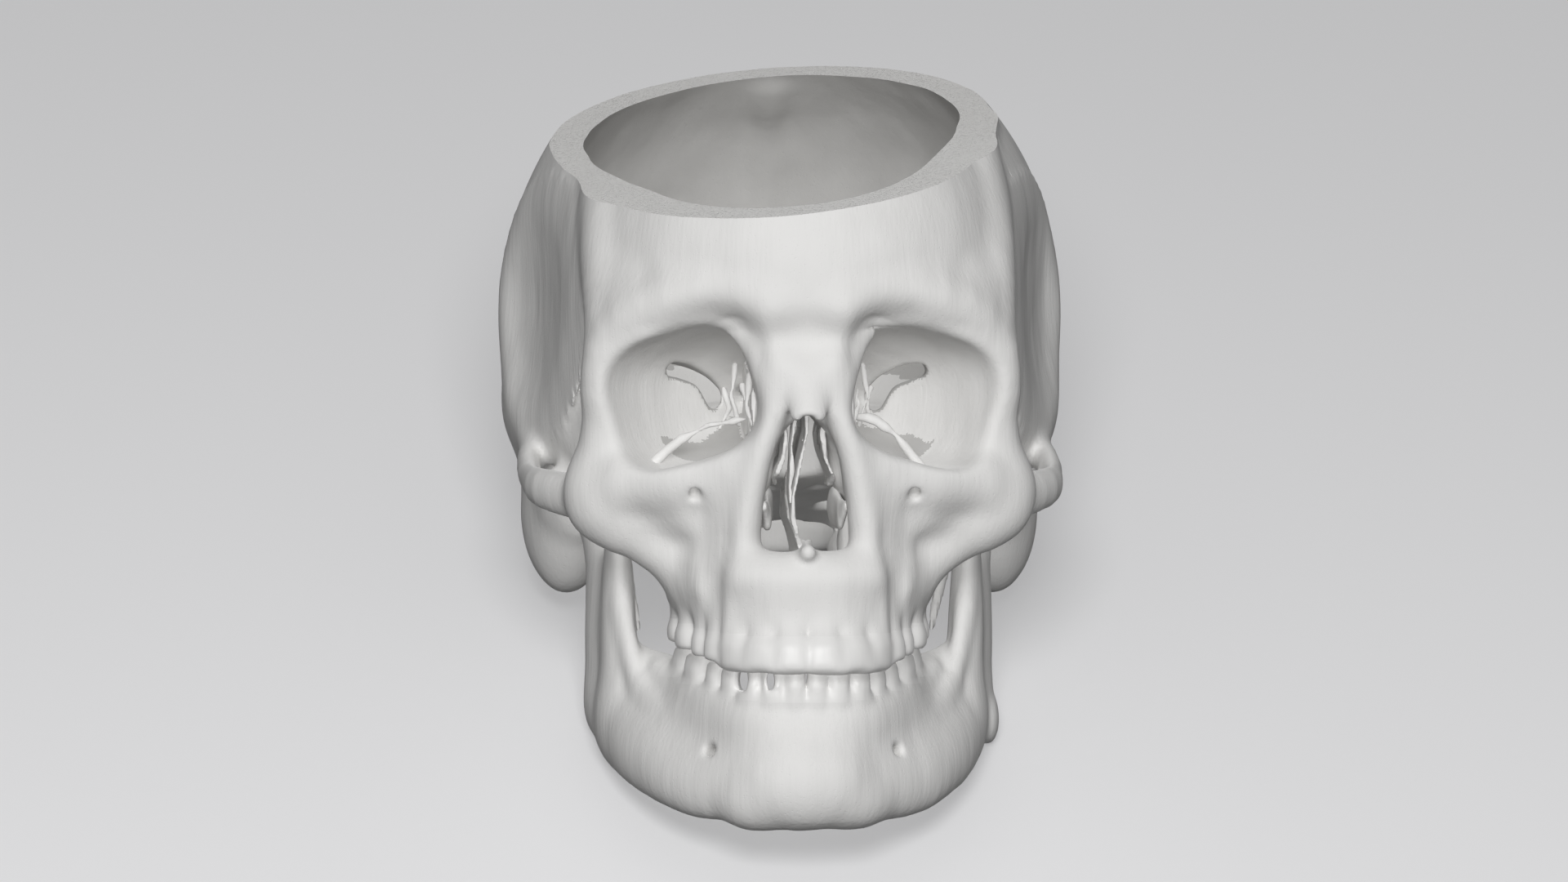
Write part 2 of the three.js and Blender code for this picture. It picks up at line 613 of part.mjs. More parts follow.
// Cutters: an outline drawn in one of the three views, pushed straight through the skull.
const viewAxes = {
  side: [new THREE.Vector3(0, 1, 0), new THREE.Vector3(0, 0, 1), new THREE.Vector3(1, 0, 0)],
  top: [new THREE.Vector3(1, 0, 0), new THREE.Vector3(0, 1, 0), new THREE.Vector3(0, 0, 1)],
  front: [new THREE.Vector3(1, 0, 0), new THREE.Vector3(0, 0, 1), new THREE.Vector3(0, -1, 0)],
};
const viewUnits = {
  side: [baseLength, vaultRise, condyleSpan],
  top: [condyleSpan, baseLength, vaultRise],
  front: [condyleSpan, vaultRise, baseLength],
};

const grownOutline = (corners, amount) => {
  const sign = THREE.ShapeUtils.area(corners) > 0 ? 1 : -1;
  return corners.map((corner, n) => {
    const before = corners[(n + corners.length - 1) % corners.length];
    const after = corners[(n + 1) % corners.length];
    const [one, two] = [corner.clone().sub(before).normalize(), after.clone().sub(corner).normalize()];
    const out = new THREE.Vector2(one.y + two.y, -one.x - two.x).multiplyScalar(sign);
    const push = amount / Math.max(out.lengthSq() / 2, 0.3);
    return corner.clone().add(out.multiplyScalar(push));
  });
};

const cutter = (view, outlineShares, growth, depthShares = [-1.4, 1.4]) => {
  const [unitU, unitV, unitW] = viewUnits[view];
  const plain = outlineShares.map(([u, v]) => new THREE.Vector2(u * unitU, v * unitV));
  const near = depthShares[0] * unitW - growth;
  const far = depthShares[1] * unitW + growth;
  const geometry = new THREE.ExtrudeGeometry(new THREE.Shape(grownOutline(plain, growth)), {
    depth: far - near,
    bevelEnabled: false,
  });
  geometry.translate(0, 0, near);
  geometry.applyMatrix4(new THREE.Matrix4().makeBasis(...viewAxes[view]));
  return solidOfGeometry(geometry);
};

// Each bone is what its outlines leave of the skull that is still uncut. Outlines are drawn for the left side.
const boneShares = [
  {
    name: "ethmoid_bone",
    cuts: [["front", [[-0.125, 0.0], [0.125, 0.0], [0.125, 0.36], [-0.125, 0.36]], [0.49, 0.83]]],
  },
  {
    name: "parietal",
    paired: true,
    cuts: [
      [
        "side",
        [
          [-0.09, 1.4], [-0.11, 1.15], [-0.27, 0.85], [-0.4, 0.58], [-0.48, 0.33], [-0.42, 0.27],
          [-0.3, 0.37], [-0.1, 0.42], [0.12, 0.38], [0.28, 0.24], [0.44, 0.08], [0.56, 0.28],
          [0.68, 0.52], [0.76, 0.68], [0.86, 0.8], [1.1, 0.9], [1.1, 1.4],
        ],
        [0, 1.4],
      ],
    ],
  },
  {
    name: "nasal_bone",
    paired: true,
    cuts: [["front", [[0, 0.32], [0.055, 0.315], [0.06, 0.2], [0.085, 0.02], [0, 0.02]], [0.82, 1.4]]],
  },
  {
    name: "frontal_bone",
    cuts: [
      [
        "side",
        [
          [-0.09, 1.4], [-0.11, 1.15], [-0.27, 0.85], [-0.4, 0.58], [-0.5, 0.31], [-0.62, 0.28],
          [-0.66, 0.225], [-0.8, 0.215], [-0.84, 0.3], [-1.3, 0.3], [-1.3, 1.4],
        ],
      ],
    ],
  },
  {
    name: "occipital_bone",
    cuts: [
      [
        "top",
        [
          [-0.09, -0.14], [0.09, -0.14], [0.13, 0.02], [0.25, 0.13], [0.42, 0.29], [0.62, 0.44],
          [1.2, 0.6], [1.2, 1.4], [-1.2, 1.4], [-1.2, 0.6], [-0.62, 0.44], [-0.42, 0.29],
          [-0.25, 0.13], [-0.13, 0.02],
        ],
      ],
    ],
  },
  {
    name: "temporal",
    paired: true,
    cuts: [
      [
        "top",
        [
          [0.09, -0.12], [0.13, -0.25], [0.3, -0.28], [0.4, -0.34], [0.46, -0.42], [0.58, -0.44],
          [0.62, -0.42], [1.2, -0.36], [1.2, 1.2], [0.09, 1.2],
        ],
      ],
    ],
  },
  {
    name: "sphenoid_bone",
    cuts: [
      [
        "side",
        [
          [-0.66, 0.4], [-0.655, 0.2], [-0.65, 0.02], [-0.52, 0.03], [-0.5, -0.05], [-0.525, -0.6],
          [0.4, -0.6], [0.4, 0.4],
        ],
      ],
      ["top", [[-0.55, -1.2], [0.55, -1.2], [0.55, 0.4], [-0.55, 0.4]]],
    ],
  },
  {
    name: "zygomatic",
    paired: true,
    cuts: [
      [
        "front",
        [[0.34, 0.06], [0.36, -0.01], [0.4, -0.12], [0.44, -0.25], [0.44, -0.6], [1.2, -0.6], [1.2, 0.5],
          [0.34, 0.5]],
      ],
    ],
  },
  {
    name: "lacrimal",
    paired: true,
    cuts: [["side", [[-0.84, 0.22], [-0.84, 0.05], [-0.76, 0.05], [-0.76, 0.22]], [0.055, 0.16]]],
  },
  {
    name: "palatine",
    paired: true,
    cuts: [
      [
        "side",
        [[-0.63, -0.4], [-0.63, -0.24], [-0.56, -0.2], [-0.56, 0.03], [-0.4, 0.03], [-0.4, -0.4]],
        [0, 0.2],
      ],
    ],
  },
  { name: "maxilla", paired: true, cuts: [["side", [[-1.4, -1.2], [0.4, -1.2], [0.4, 0.6], [-1.4, 0.6]], [0, 1.4]]] },
];

const mirroredShares = (view, outlineShares, depthShares) => {
  if (view === "side") return [view, outlineShares, depthShares && [-depthShares[1], -depthShares[0]]];
  return [view, outlineShares.map(([u, v]) => [-u, v]), depthShares];
};

const carve = (whole) => {
  const bones = {};
  let rest = whole;
  for (const { name, paired, cuts } of boneShares) {
    const sides = paired ? ["left", "right"] : [""];
    for (const side of sides) {
      const own = side === "right" ? cuts.map((cut) => mirroredShares(...cut)) : cuts;
      const shape = (growth) =>
        own
          .map(([view, outline, depth]) => cutter(view, outline, growth, depth))
          .reduce((both, next) => both.intersect(next));
      const bone = rest.intersect(shape(0));
      bones[side ? `${name}_${side}` : name] = bone;
      rest = rest.subtract(shape(sutureGap));
    }
  }
  return bones;
};

// Teeth. Each row, from the middle of the jaw backwards: width along the arch, depth across it, edge height,
// neck height and root length (all in shares), then the lean of the crown, outwards, in degrees.
const toothRows = {
  upper: [
    ["central_incisor", 0.083, 0.07, -0.515, -0.415, 0.12, 24],
    ["lateral_incisor", 0.066, 0.062, -0.51, -0.415, 0.12, 22],
    ["canine", 0.073, 0.078, -0.515, -0.41, 0.14, 16],
    ["first_premolar", 0.068, 0.088, -0.487, -0.405, 0.11, 8],
    ["second_premolar", 0.066, 0.088, -0.477, -0.4, 0.11, 6],
    ["first_molar", 0.099, 0.108, -0.462, -0.39, 0.1, 6],
    ["second_molar", 0.093, 0.104, -0.447, -0.38, 0.1, 6],
  ],
  lower: [
    ["central_incisor", 0.052, 0.056, -0.488, -0.585, 0.1, 6],
    ["lateral_incisor", 0.057, 0.058, -0.488, -0.585, 0.1, 5],
    ["canine", 0.066, 0.074, -0.492, -0.58, 0.12, 2],
    ["first_premolar", 0.068, 0.076, -0.495, -0.57, 0.11, -4],
    ["second_premolar", 0.069, 0.08, -0.485, -0.56, 0.11, -6],
    ["first_molar", 0.106, 0.1, -0.47, -0.545, 0.1, -8],
    ["second_molar", 0.1, 0.096, -0.455, -0.53, 0.1, -10],
  ],
};
const archShares = {
  upper: [[0, -0.965], [0.1, -0.95], [0.178, -0.885], [0.235, -0.785], [0.27, -0.67], [0.285, -0.53]],
  lower: [[0, -0.905], [0.08, -0.892], [0.142, -0.848], [0.203, -0.76], [0.252, -0.655], [0.293, -0.5]],
};
// Rings of a tooth from root tip to biting edge: place between the two, then width and depth of the ring.
const frontRingShares = [
  ["root", 1, 0.25, 0.3],
  ["crown", 0, 0.84, 0.88],
  ["crown", 0.45, 0.99, 0.92],
  ["crown", 0.85, 0.99, 0.55],
  ["crown", 1, 0.92, 0.34],
];
const backRingShares = [
  ["root", 1, 0.4, 0.45],
  ["crown", 0, 0.88, 0.86],
  ["crown", 0.45, 1, 1],
  ["crown", 0.82, 0.97, 0.92],
  ["crown", 1, 0.76, 0.66],
];
const ringCorners = 8;
const ringSquareness = 2.6;

const loft = (rings) => {
  const mesh = { points: rings.flat().flatMap((p) => p.toArray()), faces: [] };
  const count = rings[0].length;
  for (let r = 0; r < rings.length - 1; r += 1) {
    for (let n = 0; n < count; n += 1) {
      const [a, b] = [r * count + n, r * count + ((n + 1) % count)];
      mesh.faces.push(a, b, b + count, a, b + count, a + count);
    }
  }
  const last = (rings.length - 1) * count;
  for (let n = 1; n < count - 1; n += 1) {
    mesh.faces.push(0, n + 1, n, last, last + n, last + n + 1);
  }
  return volumeOf(mesh) < 0 ? turned(mesh) : mesh;
};

const toothMesh = (jaw, row, centre, tangent, side, clearance) => {
  const [, widthShare, depthShare, edgeShare, neckShare, rootShare, leanDegrees] = row;
  const down = jaw === "upper" ? -1 : 1;
  const out = new THREE.Vector3(tangent.y, -tangent.x, 0);
  if (out.dot(centre) < 0) out.negate();
  const lean = THREE.MathUtils.degToRad(leanDegrees);
  const axis = new THREE.Vector3(0, 0, down).applyAxisAngle(
    out.clone().cross(new THREE.Vector3(0, 0, down)).normalize(),
    -lean,
  );
  const neck = new THREE.Vector3(centre.x, centre.y, neckShare * vaultRise);
  const crownLength = (Math.abs(edgeShare - neckShare) * vaultRise) / Math.cos(lean);
  const rootLength = rootShare * vaultRise;
  const halfWide = (widthShare * condyleSpan - sutureGap) / 2;
  const halfDeep = (depthShare * baseLength) / 2;
  const across = axis.clone().cross(tangent).normalize();
  const ringShares = row[0].includes("molar") ? backRingShares : frontRingShares;
  const rings = ringShares.map(([part, alongShare, wide, deep]) => {
    const end = alongShare === 1 ? clearance : 0;
    const along = part === "root" ? -alongShare * rootLength - end : alongShare * crownLength + end;
    const middle = neck.clone().addScaledVector(axis, along);
    return Array.from({ length: ringCorners }, (_, n) => {
      const angle = ((n + 0.5) / ringCorners) * 2 * Math.PI;
      const [c, s] = [Math.cos(angle), Math.sin(angle)];
      const round = (Math.abs(c) ** ringSquareness + Math.abs(s) ** ringSquareness) ** (-1 / ringSquareness);
      return middle
        .clone()
        .addScaledVector(tangent, c * round * (halfWide * wide + clearance))
        .addScaledVector(across, s * round * (halfDeep * deep + clearance));
    });
  });
  const mesh = loft(rings);
  if (side < 0) return turned({ points: mesh.points.map((v, n) => (n % 3 ? v : -v)), faces: mesh.faces });
  return mesh;
};

const dentition = (jaw) => {
  const arch = new THREE.CatmullRomCurve3(
    archShares[jaw].map(([x, y]) => new THREE.Vector3(x * condyleSpan, y * baseLength, 0)),
  );
  const whole = arch.getLength();
  const total = toothRows[jaw].reduce((sum, row) => sum + row[1] * condyleSpan, 0);
  const squeeze = Math.min(1, whole / total);
  const teeth = [];
  let along = 0;
  for (const row of toothRows[jaw]) {
    const width = row[1] * condyleSpan * squeeze;
    const share = Math.min((along + width / 2) / whole, 1);
    along += width;
    const centre = arch.getPointAt(share);
    const tangent = arch.getTangentAt(share);
    const own = [row[0], row[1] * squeeze, ...row.slice(2)];
    for (const side of [1, -1]) {
      teeth.push({
        name: `${jaw}_${row[0]}_${side > 0 ? "left" : "right"}`,
        mesh: toothMesh(jaw, own, centre, tangent, side, 0),
        socket: toothMesh(jaw, own, centre, tangent, side, socketClearance),
      });
    }
  }
  return teeth;
};

// Thin plates and small joined or cut pieces, as outlines or rows of rings.
const vomerShares = [
  [-0.94, -0.255], [-0.92, -0.2], [-0.8, -0.12], [-0.66, -0.05], [-0.545, 0.0], [-0.5, -0.055], [-0.49, -0.12],
  [-0.55, -0.255],
];
const septumShares = [
  [-0.9, 0.16], [-0.93, 0.0], [-0.92, -0.17], [-0.8, -0.09], [-0.66, -0.02], [-0.56, 0.03], [-0.56, 0.16],
];
const plateThickness = 1.2;

const plate = (outlineShares, thickness, growth) =>
  cutter("side", outlineShares, growth, [-thickness / 2 / condyleSpan, thickness / 2 / condyleSpan]);

const conchaRingShares = [
  [-0.88, -0.1, 0.098, 0.012, 0.02],
  [-0.82, -0.1, 0.083, 0.018, 0.045],
  [-0.7, -0.095, 0.081, 0.02, 0.055],
  [-0.58, -0.1, 0.088, 0.018, 0.045],
  [-0.51, -0.105, 0.102, 0.012, 0.02],
];
const concha = (side) =>
  loft(
    conchaRingShares.map(([y, z, x, halfWide, halfTall]) =>
      Array.from({ length: ringCorners }, (_, n) => {
        const angle = (n / ringCorners) * 2 * Math.PI;
        return new THREE.Vector3(
          side * (x + halfWide * Math.cos(angle)) * condyleSpan,
          y * baseLength,
          (z + halfTall * Math.sin(angle)) * vaultRise,
        );
      }),
    ),
  );

const rodShares = {
  styloid: [
    [0.43, 0.03, -0.14, 0.035],
    [0.4, -0.03, -0.3, 0.02],
    [0.37, -0.08, -0.44, 0.01],
  ],
  infraorbital: [
    [0.26, -1.0, -0.125, 0.018],
    [0.28, -0.8, -0.08, 0.018],
  ],
  mental: [
    [0.275, -0.93, -0.75, 0.016],
    [0.215, -0.76, -0.79, 0.016],
  ],
  optic: [
    [0.16, -0.5, 0.17, 0.024],
    [0.1, -0.36, 0.22, 0.024],
  ],
};
const rod = (stationShares, side) => {
  const stations = stationShares.map(([x, y, z]) => place([side * x, y, z]));
  const axis = stations[stations.length - 1].clone().sub(stations[0]).normalize();
  const across = new THREE.Vector3(0, 0, 1).cross(axis).normalize();
  if (across.lengthSq() === 0) across.set(1, 0, 0);
  const up = axis.clone().cross(across);
  return loft(
    stations.map((station, n) =>
      Array.from({ length: ringCorners }, (_, corner) => {
        const angle = (corner / ringCorners) * 2 * Math.PI;
        const radius = stationShares[n][3] * condyleSpan;
        return station
          .clone()
          .addScaledVector(across, radius * Math.cos(angle))
          .addScaledVector(up, radius * Math.sin(angle));
      }),
    ),
  );
};

const sawCutter = () => {
  const geometry = new THREE.BoxGeometry(2 * reach, 2 * reach, reach);
  geometry.translate(0, 0, reach / 2);
  geometry.rotateX(sawSlope);
  geometry.rotateY(-sawRoll);
  geometry.translate(0, 0, sawHeight);
  return solidOfGeometry(geometry);
};
const sawDistance = (x, y, z) => {
  const normal = new THREE.Vector3(0, 0, 1)
    .applyAxisAngle(new THREE.Vector3(1, 0, 0), sawSlope)
    .applyAxisAngle(new THREE.Vector3(0, 1, 0), -sawRoll);
  return x * normal.x + y * normal.y + (z - sawHeight) * normal.z;
};

// Finishes.
const finish = (color, roughness) => new THREE.MeshStandardMaterial({ color, roughness, metalness: 0 });
const boneColour = "#d9d7d2";
const toothColour = "#e2e0da";

const buildSkull = () => {
  const solids = {};

  const bodyField = fieldOf(craniumShares);
  const cranium = thin(
    largestBody(
      skinOf(
        (x, y, z) => Math.max(bodyField(x, y, z), sawDistance(x, y, z) - sawReserve),
        [-0.8, -1.12, -0.42],
        [0.8, 0.96, 1.2],
      ),
    ),
    surfaceTolerance,
    { least: 4400, most: 5400 },
  );
  let whole = solidOfMesh(cranium).subtract(sawCutter());
  const teeth = [...dentition("upper"), ...dentition("lower")];
  for (const side of [1, -1]) {
    whole = whole.add(solidOfMesh(rod(rodShares.styloid, side)));
    whole = whole.subtract(solidOfMesh(rod(rodShares.infraorbital, side)));
    whole = whole.subtract(solidOfMesh(rod(rodShares.optic, side)));
  }
  for (const { name, socket } of teeth) {
    if (name.startsWith("upper")) whole = whole.subtract(solidOfMesh(socket));
  }
  Object.assign(solids, carve(whole));

  const septum = plate(septumShares, plateThickness, 0);
  const septumGroove = plate(septumShares, plateThickness, sutureGap);
  const vomerGroove = plate(vomerShares, plateThickness, sutureGap);
  for (const name of Object.keys(solids)) {
    if (name !== "ethmoid_bone") solids[name] = solids[name].subtract(septumGroove).subtract(vomerGroove);
  }
  solids.ethmoid_bone = solids.ethmoid_bone.add(septum);
  solids.vomer = plate(vomerShares, plateThickness, 0).subtract(septumGroove);
  for (const side of [1, -1]) {
    solids[`inferior_concha_${side > 0 ? "left" : "right"}`] = solidOfMesh(concha(side));
  }

  const jawField = fieldOf(mandibleShares);
  let mandible = solidOfMesh(
    thin(
      largestBody(skinOf(jawField, [-0.68, -1.05, -1.02], [0.68, 0.02, 0.08])),
      surfaceTolerance,
      { least: 1000, most: 1200 },
    ),
  );
  for (const { name, socket } of teeth) {
    if (name.startsWith("lower")) mandible = mandible.subtract(solidOfMesh(socket));
  }
  for (const side of [1, -1]) mandible = mandible.subtract(solidOfMesh(rod(rodShares.mental, side)));
  solids.mandible = mandible;
  for (const { name, mesh } of teeth) solids[name] = solidOfMesh(mesh);
  return solids;
};

// The rest pose: leaned back about the ears until the jaw and the back of the skull touch one plane.
const lowestAfter = (tilt, points) => {
  const [turnCos, turnSin] = [Math.cos(tilt), Math.sin(tilt)];
  let low = Infinity;
  for (let n = 0; n < points.length; n += 3) {
    low = Math.min(low, points[n + 2] * turnCos - points[n + 1] * turnSin);
  }
  return low;
};

const levelTilt = (jawPoints, skullPoints) => {
  let [less, more] = [0, Math.PI / 3];
  for (let n = 0; n < 40; n += 1) {
    const middle = (less + more) / 2;
    if (lowestAfter(middle, jawPoints) < lowestAfter(middle, skullPoints)) less = middle;
    else more = middle;
  }
  return (less + more) / 2;
};

const creaseAngle = THREE.MathUtils.degToRad(40);
const skull = new THREE.Group();
skull.name = "skull";
const meshes = Object.entries(buildSkull()).map(([name, solid]) => ({
  name,
  ...thin(largestBody(meshOfSolid(solid)), trimTolerance, { least: 20, most: 9000 }),
}));
const pointsOf = (named) => meshes.filter(({ name }) => named(name)).flatMap(({ points }) => points);
const isJaw = (name) => name === "mandible" || name.startsWith("lower");
const tilt = levelTilt(
  pointsOf(isJaw),
  pointsOf((name) => !isJaw(name)),
);
const pose = new THREE.Matrix4().makeRotationX(-tilt);
const posed = new THREE.Box3();
for (const { points } of meshes) {
  for (let n = 0; n < points.length; n += 3) {
    posed.expandByPoint(new THREE.Vector3(points[n], points[n + 1], points[n + 2]).applyMatrix4(pose));
  }
}
const middle = posed.getCenter(new THREE.Vector3());
pose.premultiply(new THREE.Matrix4().makeTranslation(-middle.x, -middle.y, -posed.min.z));

for (const { name, points, faces } of meshes) {
  const geometry = new THREE.BufferGeometry();
  geometry.setAttribute("position", new THREE.Float32BufferAttribute(points, 3));
  geometry.setIndex(faces);
  geometry.applyMatrix4(pose);
  const isTooth = name.startsWith("upper") || name.startsWith("lower");
  const node = new THREE.Mesh(
    toCreasedNormals(geometry, creaseAngle),
    finish(isTooth ? toothColour : boneColour, isTooth ? 0.5 : 0.75),
  );
  node.name = name;
  skull.add(node);
}

export default skull;
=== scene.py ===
"""Fine shapes and finishes of a dry human skull whose vault has been sawn open.

The skull is sculpted upright in its ear-eye frame, in millimetres: x to its left, y backwards, z up,
with the origin midway between the ears. The forms of a block are blended into one field of distances,
the skin of that field is carved into its separate bones and teeth, and each piece is leaned back into
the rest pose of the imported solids, in metres.
"""
import json
import logging
import math
from collections.abc import Iterable, Iterator
from dataclasses import dataclass, field, replace
from enum import Enum
from typing import Protocol

import bpy
import numpy as np
import openvdb
from mathutils import Matrix, Vector

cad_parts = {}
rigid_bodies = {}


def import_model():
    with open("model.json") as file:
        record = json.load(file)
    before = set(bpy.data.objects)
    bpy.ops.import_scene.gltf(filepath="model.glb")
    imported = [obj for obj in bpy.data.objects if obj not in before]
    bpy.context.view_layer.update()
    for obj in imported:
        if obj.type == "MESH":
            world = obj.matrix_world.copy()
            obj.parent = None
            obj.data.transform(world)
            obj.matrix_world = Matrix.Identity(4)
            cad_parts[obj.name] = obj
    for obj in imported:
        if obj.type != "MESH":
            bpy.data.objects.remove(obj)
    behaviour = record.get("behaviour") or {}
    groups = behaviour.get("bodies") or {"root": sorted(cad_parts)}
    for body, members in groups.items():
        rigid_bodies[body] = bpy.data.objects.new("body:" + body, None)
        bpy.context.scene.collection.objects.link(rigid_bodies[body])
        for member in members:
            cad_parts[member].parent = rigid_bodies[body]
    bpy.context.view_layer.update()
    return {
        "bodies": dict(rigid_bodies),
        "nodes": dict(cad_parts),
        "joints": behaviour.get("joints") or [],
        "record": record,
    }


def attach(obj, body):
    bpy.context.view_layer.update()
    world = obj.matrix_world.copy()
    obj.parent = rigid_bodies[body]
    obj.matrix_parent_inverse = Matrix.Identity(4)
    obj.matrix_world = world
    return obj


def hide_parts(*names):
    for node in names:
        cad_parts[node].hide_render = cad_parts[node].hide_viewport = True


log = logging.getLogger("skull")

Triple = tuple[float, float, float]
Pair = tuple[float, float]
Span = tuple[Triple, Triple]
Station = tuple[Triple, Triple]
Slices = tuple[slice, slice, slice]

METRES = 0.001  # of one millimetre
FAR = 60.0  # the distance that an empty block holds
ENDLESS = 540.0  # larger than any block
TINY = 1e-6
WAVE_REACH = 130.0  # the random waves are laid out this far to each side of the origin
WAVE_GAIN = 1.6  # brings the smoothed random values back to about -1 to 1
FADE = 6.0  # over which a bounded relief fades out
BEND_PARTS = 3  # into which each stretch of a bent chain is split


class Act(Enum):
    """What a form does to the bone that is there already."""

    ADD = "add"
    CUT = "cut"


class Side(Enum):
    """Which half of the skull a piece belongs to."""

    LEFT = 1
    RIGHT = -1

    @property
    def suffix(self) -> str:
        """Return the ending of a piece's name on this side."""
        return "_left" if self is Side.LEFT else "_right"


class View(Enum):
    """The view in which an outline is drawn."""

    SIDE = "side"
    TOP = "top"
    FRONT = "front"


class Shaping(Enum):
    """How one solid changes another."""

    JOIN = "UNION"
    CUT = "DIFFERENCE"
    KEEP = "INTERSECT"


class Jaw(Enum):
    """Which jaw a tooth stands in."""

    UPPER = "upper"
    LOWER = "lower"


class Body(Enum):
    """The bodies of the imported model."""

    SKULL = "skull"
    LOWER_JAW = "lower_jaw"


class Slot(Enum):
    """The material slots of the record."""

    BONE = "bone"
    TOOTH = "tooth"


# ---------------------------------------------------------------------------------------------- forms


def stretched_distance(ax: np.ndarray, ay: np.ndarray, az: np.ndarray, radii: tuple) -> np.ndarray:
    """Return the distance from a ball that is stretched along the three axes.

    Args:
        ax: Offsets from its centre along x.
        ay: Offsets along y.
        az: Offsets along z.
        radii: Its three radii, as numbers or as arrays.

    Returns:
        Values that are negative inside and grow by about one for each millimetre outside.
    """
    ux, uy, uz = ax / radii[0], ay / radii[1], az / radii[2]
    near = np.sqrt(ux * ux + uy * uy + uz * uz)
    slope = np.sqrt((ux / radii[0]) ** 2 + (uy / radii[1]) ** 2 + (uz / radii[2]) ** 2)
    middle = -np.minimum(np.minimum(radii[0], radii[1]), radii[2])
    return np.where(slope < TINY, middle, near * (near - 1) / np.maximum(slope, TINY))


def blended_union(one: np.ndarray, other: np.ndarray, width: float) -> np.ndarray:
    """Return the union of two fields, rounded over a width where they meet.

    Args:
        one: The first field.
        other: The second field.
        width: The width of the rounding.

    Returns:
        The field of both together.
    """
    share = np.maximum(width - np.abs(one - other), 0) / width
    return np.minimum(one, other) - share * share * (width / 4)


def span_of(stations: Iterable[Station]) -> Span:
    """Return the lowest and highest corners of balls.

    Args:
        stations: The centre and the radii of each ball.

    Returns:
        The two corners of the box round them.
    """
    lows = [[c - r for c, r in zip(centre, radii)] for centre, radii in stations]
    highs = [[c + r for c, r in zip(centre, radii)] for centre, radii in stations]
    return tuple(np.min(lows, axis=0)), tuple(np.max(highs, axis=0))


class Form(Protocol):
    """A shape that knows its extent and the distance of any point from it."""

    def span(self) -> Span:
        """Return the corners of the box round the form."""

    def distance(self, x: np.ndarray, y: np.ndarray, z: np.ndarray) -> np.ndarray:
        """Return the distance of each point, negative inside."""


@dataclass(frozen=True)
class Ball:
    """A ball stretched along the axes."""

    centre: Triple
    radii: Triple

    def span(self) -> Span:
        """Return the corners of the box round the form."""
        return span_of([(self.centre, self.radii)])

    def distance(self, x: np.ndarray, y: np.ndarray, z: np.ndarray) -> np.ndarray:
        """Return the distance of each point, negative inside."""
        cx, cy, cz = self.centre
        return stretched_distance(x - cx, y - cy, z - cz, self.radii)


@dataclass(frozen=True)
class Egg:
    """A ball that grows wider towards the back of the head."""

    centre: Triple
    radii: Triple
    wider_back: float = 0.0011
    narrower_front: float = 0.0018

    def span(self) -> Span:
        """Return the corners of the box round the form.

        Returns:
            Its lowest and its highest corner.
        """
        low, high = span_of([(self.centre, self.radii)])
        widest = 1 + self.wider_back * high[1]
        return (low[0] * widest, low[1], low[2]), (high[0] * widest, high[1], high[2])

    def distance(self, x: np.ndarray, y: np.ndarray, z: np.ndarray) -> np.ndarray:
        """Return the distance of each point, negative inside."""
        width = 1 + np.where(y > 0, self.wider_back, self.narrower_front) * y
        return Ball(self.centre, self.radii).distance(x / width, y, z)


@dataclass(frozen=True)
class Chain:
    """A row of balls drawn into one smooth bar."""

    stations: tuple[Station, ...]

    def span(self) -> Span:
        """Return the corners of the box round the form."""
        return span_of(self.stations)

    def distance(self, x: np.ndarray, y: np.ndarray, z: np.ndarray) -> np.ndarray:
        """Return how far each point lies from the bar.

        The nearest place on a link is found in the link's own stretch, so a slanting link has no beads.

        Args:
            x: Coordinates of the points along x.
            y: Coordinates along y.
            z: Coordinates along z.

        Returns:
            The distances, negative inside.
        """
        nearest = np.float32(FAR)
        for (start, first), (end, last) in zip(self.stations, self.stations[1:]):
            along = np.subtract(end, start)
            pull = 4 * along / np.add(first, last) ** 2
            dx, dy, dz = x - start[0], y - start[1], z - start[2]
            t = np.clip((dx * pull[0] + dy * pull[1] + dz * pull[2]) / float(pull @ along), 0, 1)
            radii = tuple(a + t * (b - a) for a, b in zip(first, last))
            link = stretched_distance(dx - t * along[0], dy - t * along[1], dz - t * along[2], radii)
            nearest = np.minimum(nearest, link)
        return nearest


@dataclass(frozen=True)
class Below:
    """All that lies under a slope that rises or falls towards the back."""

    point: Pair
    along: Pair

    def span(self) -> Span:
        """Return the corners of the box round the form."""
        return (-ENDLESS, -ENDLESS, -ENDLESS), (ENDLESS, ENDLESS, ENDLESS)

    def distance(self, x: np.ndarray, y: np.ndarray, z: np.ndarray) -> np.ndarray:
        """Return how far each point lies from the slope.

        Args:
            x: Coordinates of the points along x, on which nothing depends.
            y: Coordinates along y.
            z: Coordinates along z.

        Returns:
            The distances, negative inside.
        """
        length = math.hypot(*self.along)
        rise, run = self.along[1] / length, self.along[0] / length
        return (y - self.point[0]) * rise - (z - self.point[1]) * run


@dataclass(frozen=True)
class Dome:
    """The part of an egg that lies above a slope."""

    egg: Egg
    floor: Below

    def span(self) -> Span:
        """Return the corners of the box round the form."""
        return self.egg.span()

    def distance(self, x: np.ndarray, y: np.ndarray, z: np.ndarray) -> np.ndarray:
        """Return the distance of each point, negative inside."""
        return np.maximum(self.egg.distance(x, y, z), self.floor.distance(x, y, z))


@dataclass(frozen=True)
class Both:
    """What two forms share."""

    one: Form
    other: Form

    def span(self) -> Span:
        """Return the corners of the box round the form."""
        return self.one.span()

    def distance(self, x: np.ndarray, y: np.ndarray, z: np.ndarray) -> np.ndarray:
        """Return the distance of each point, negative inside."""
        return np.maximum(self.one.distance(x, y, z), self.other.distance(x, y, z))


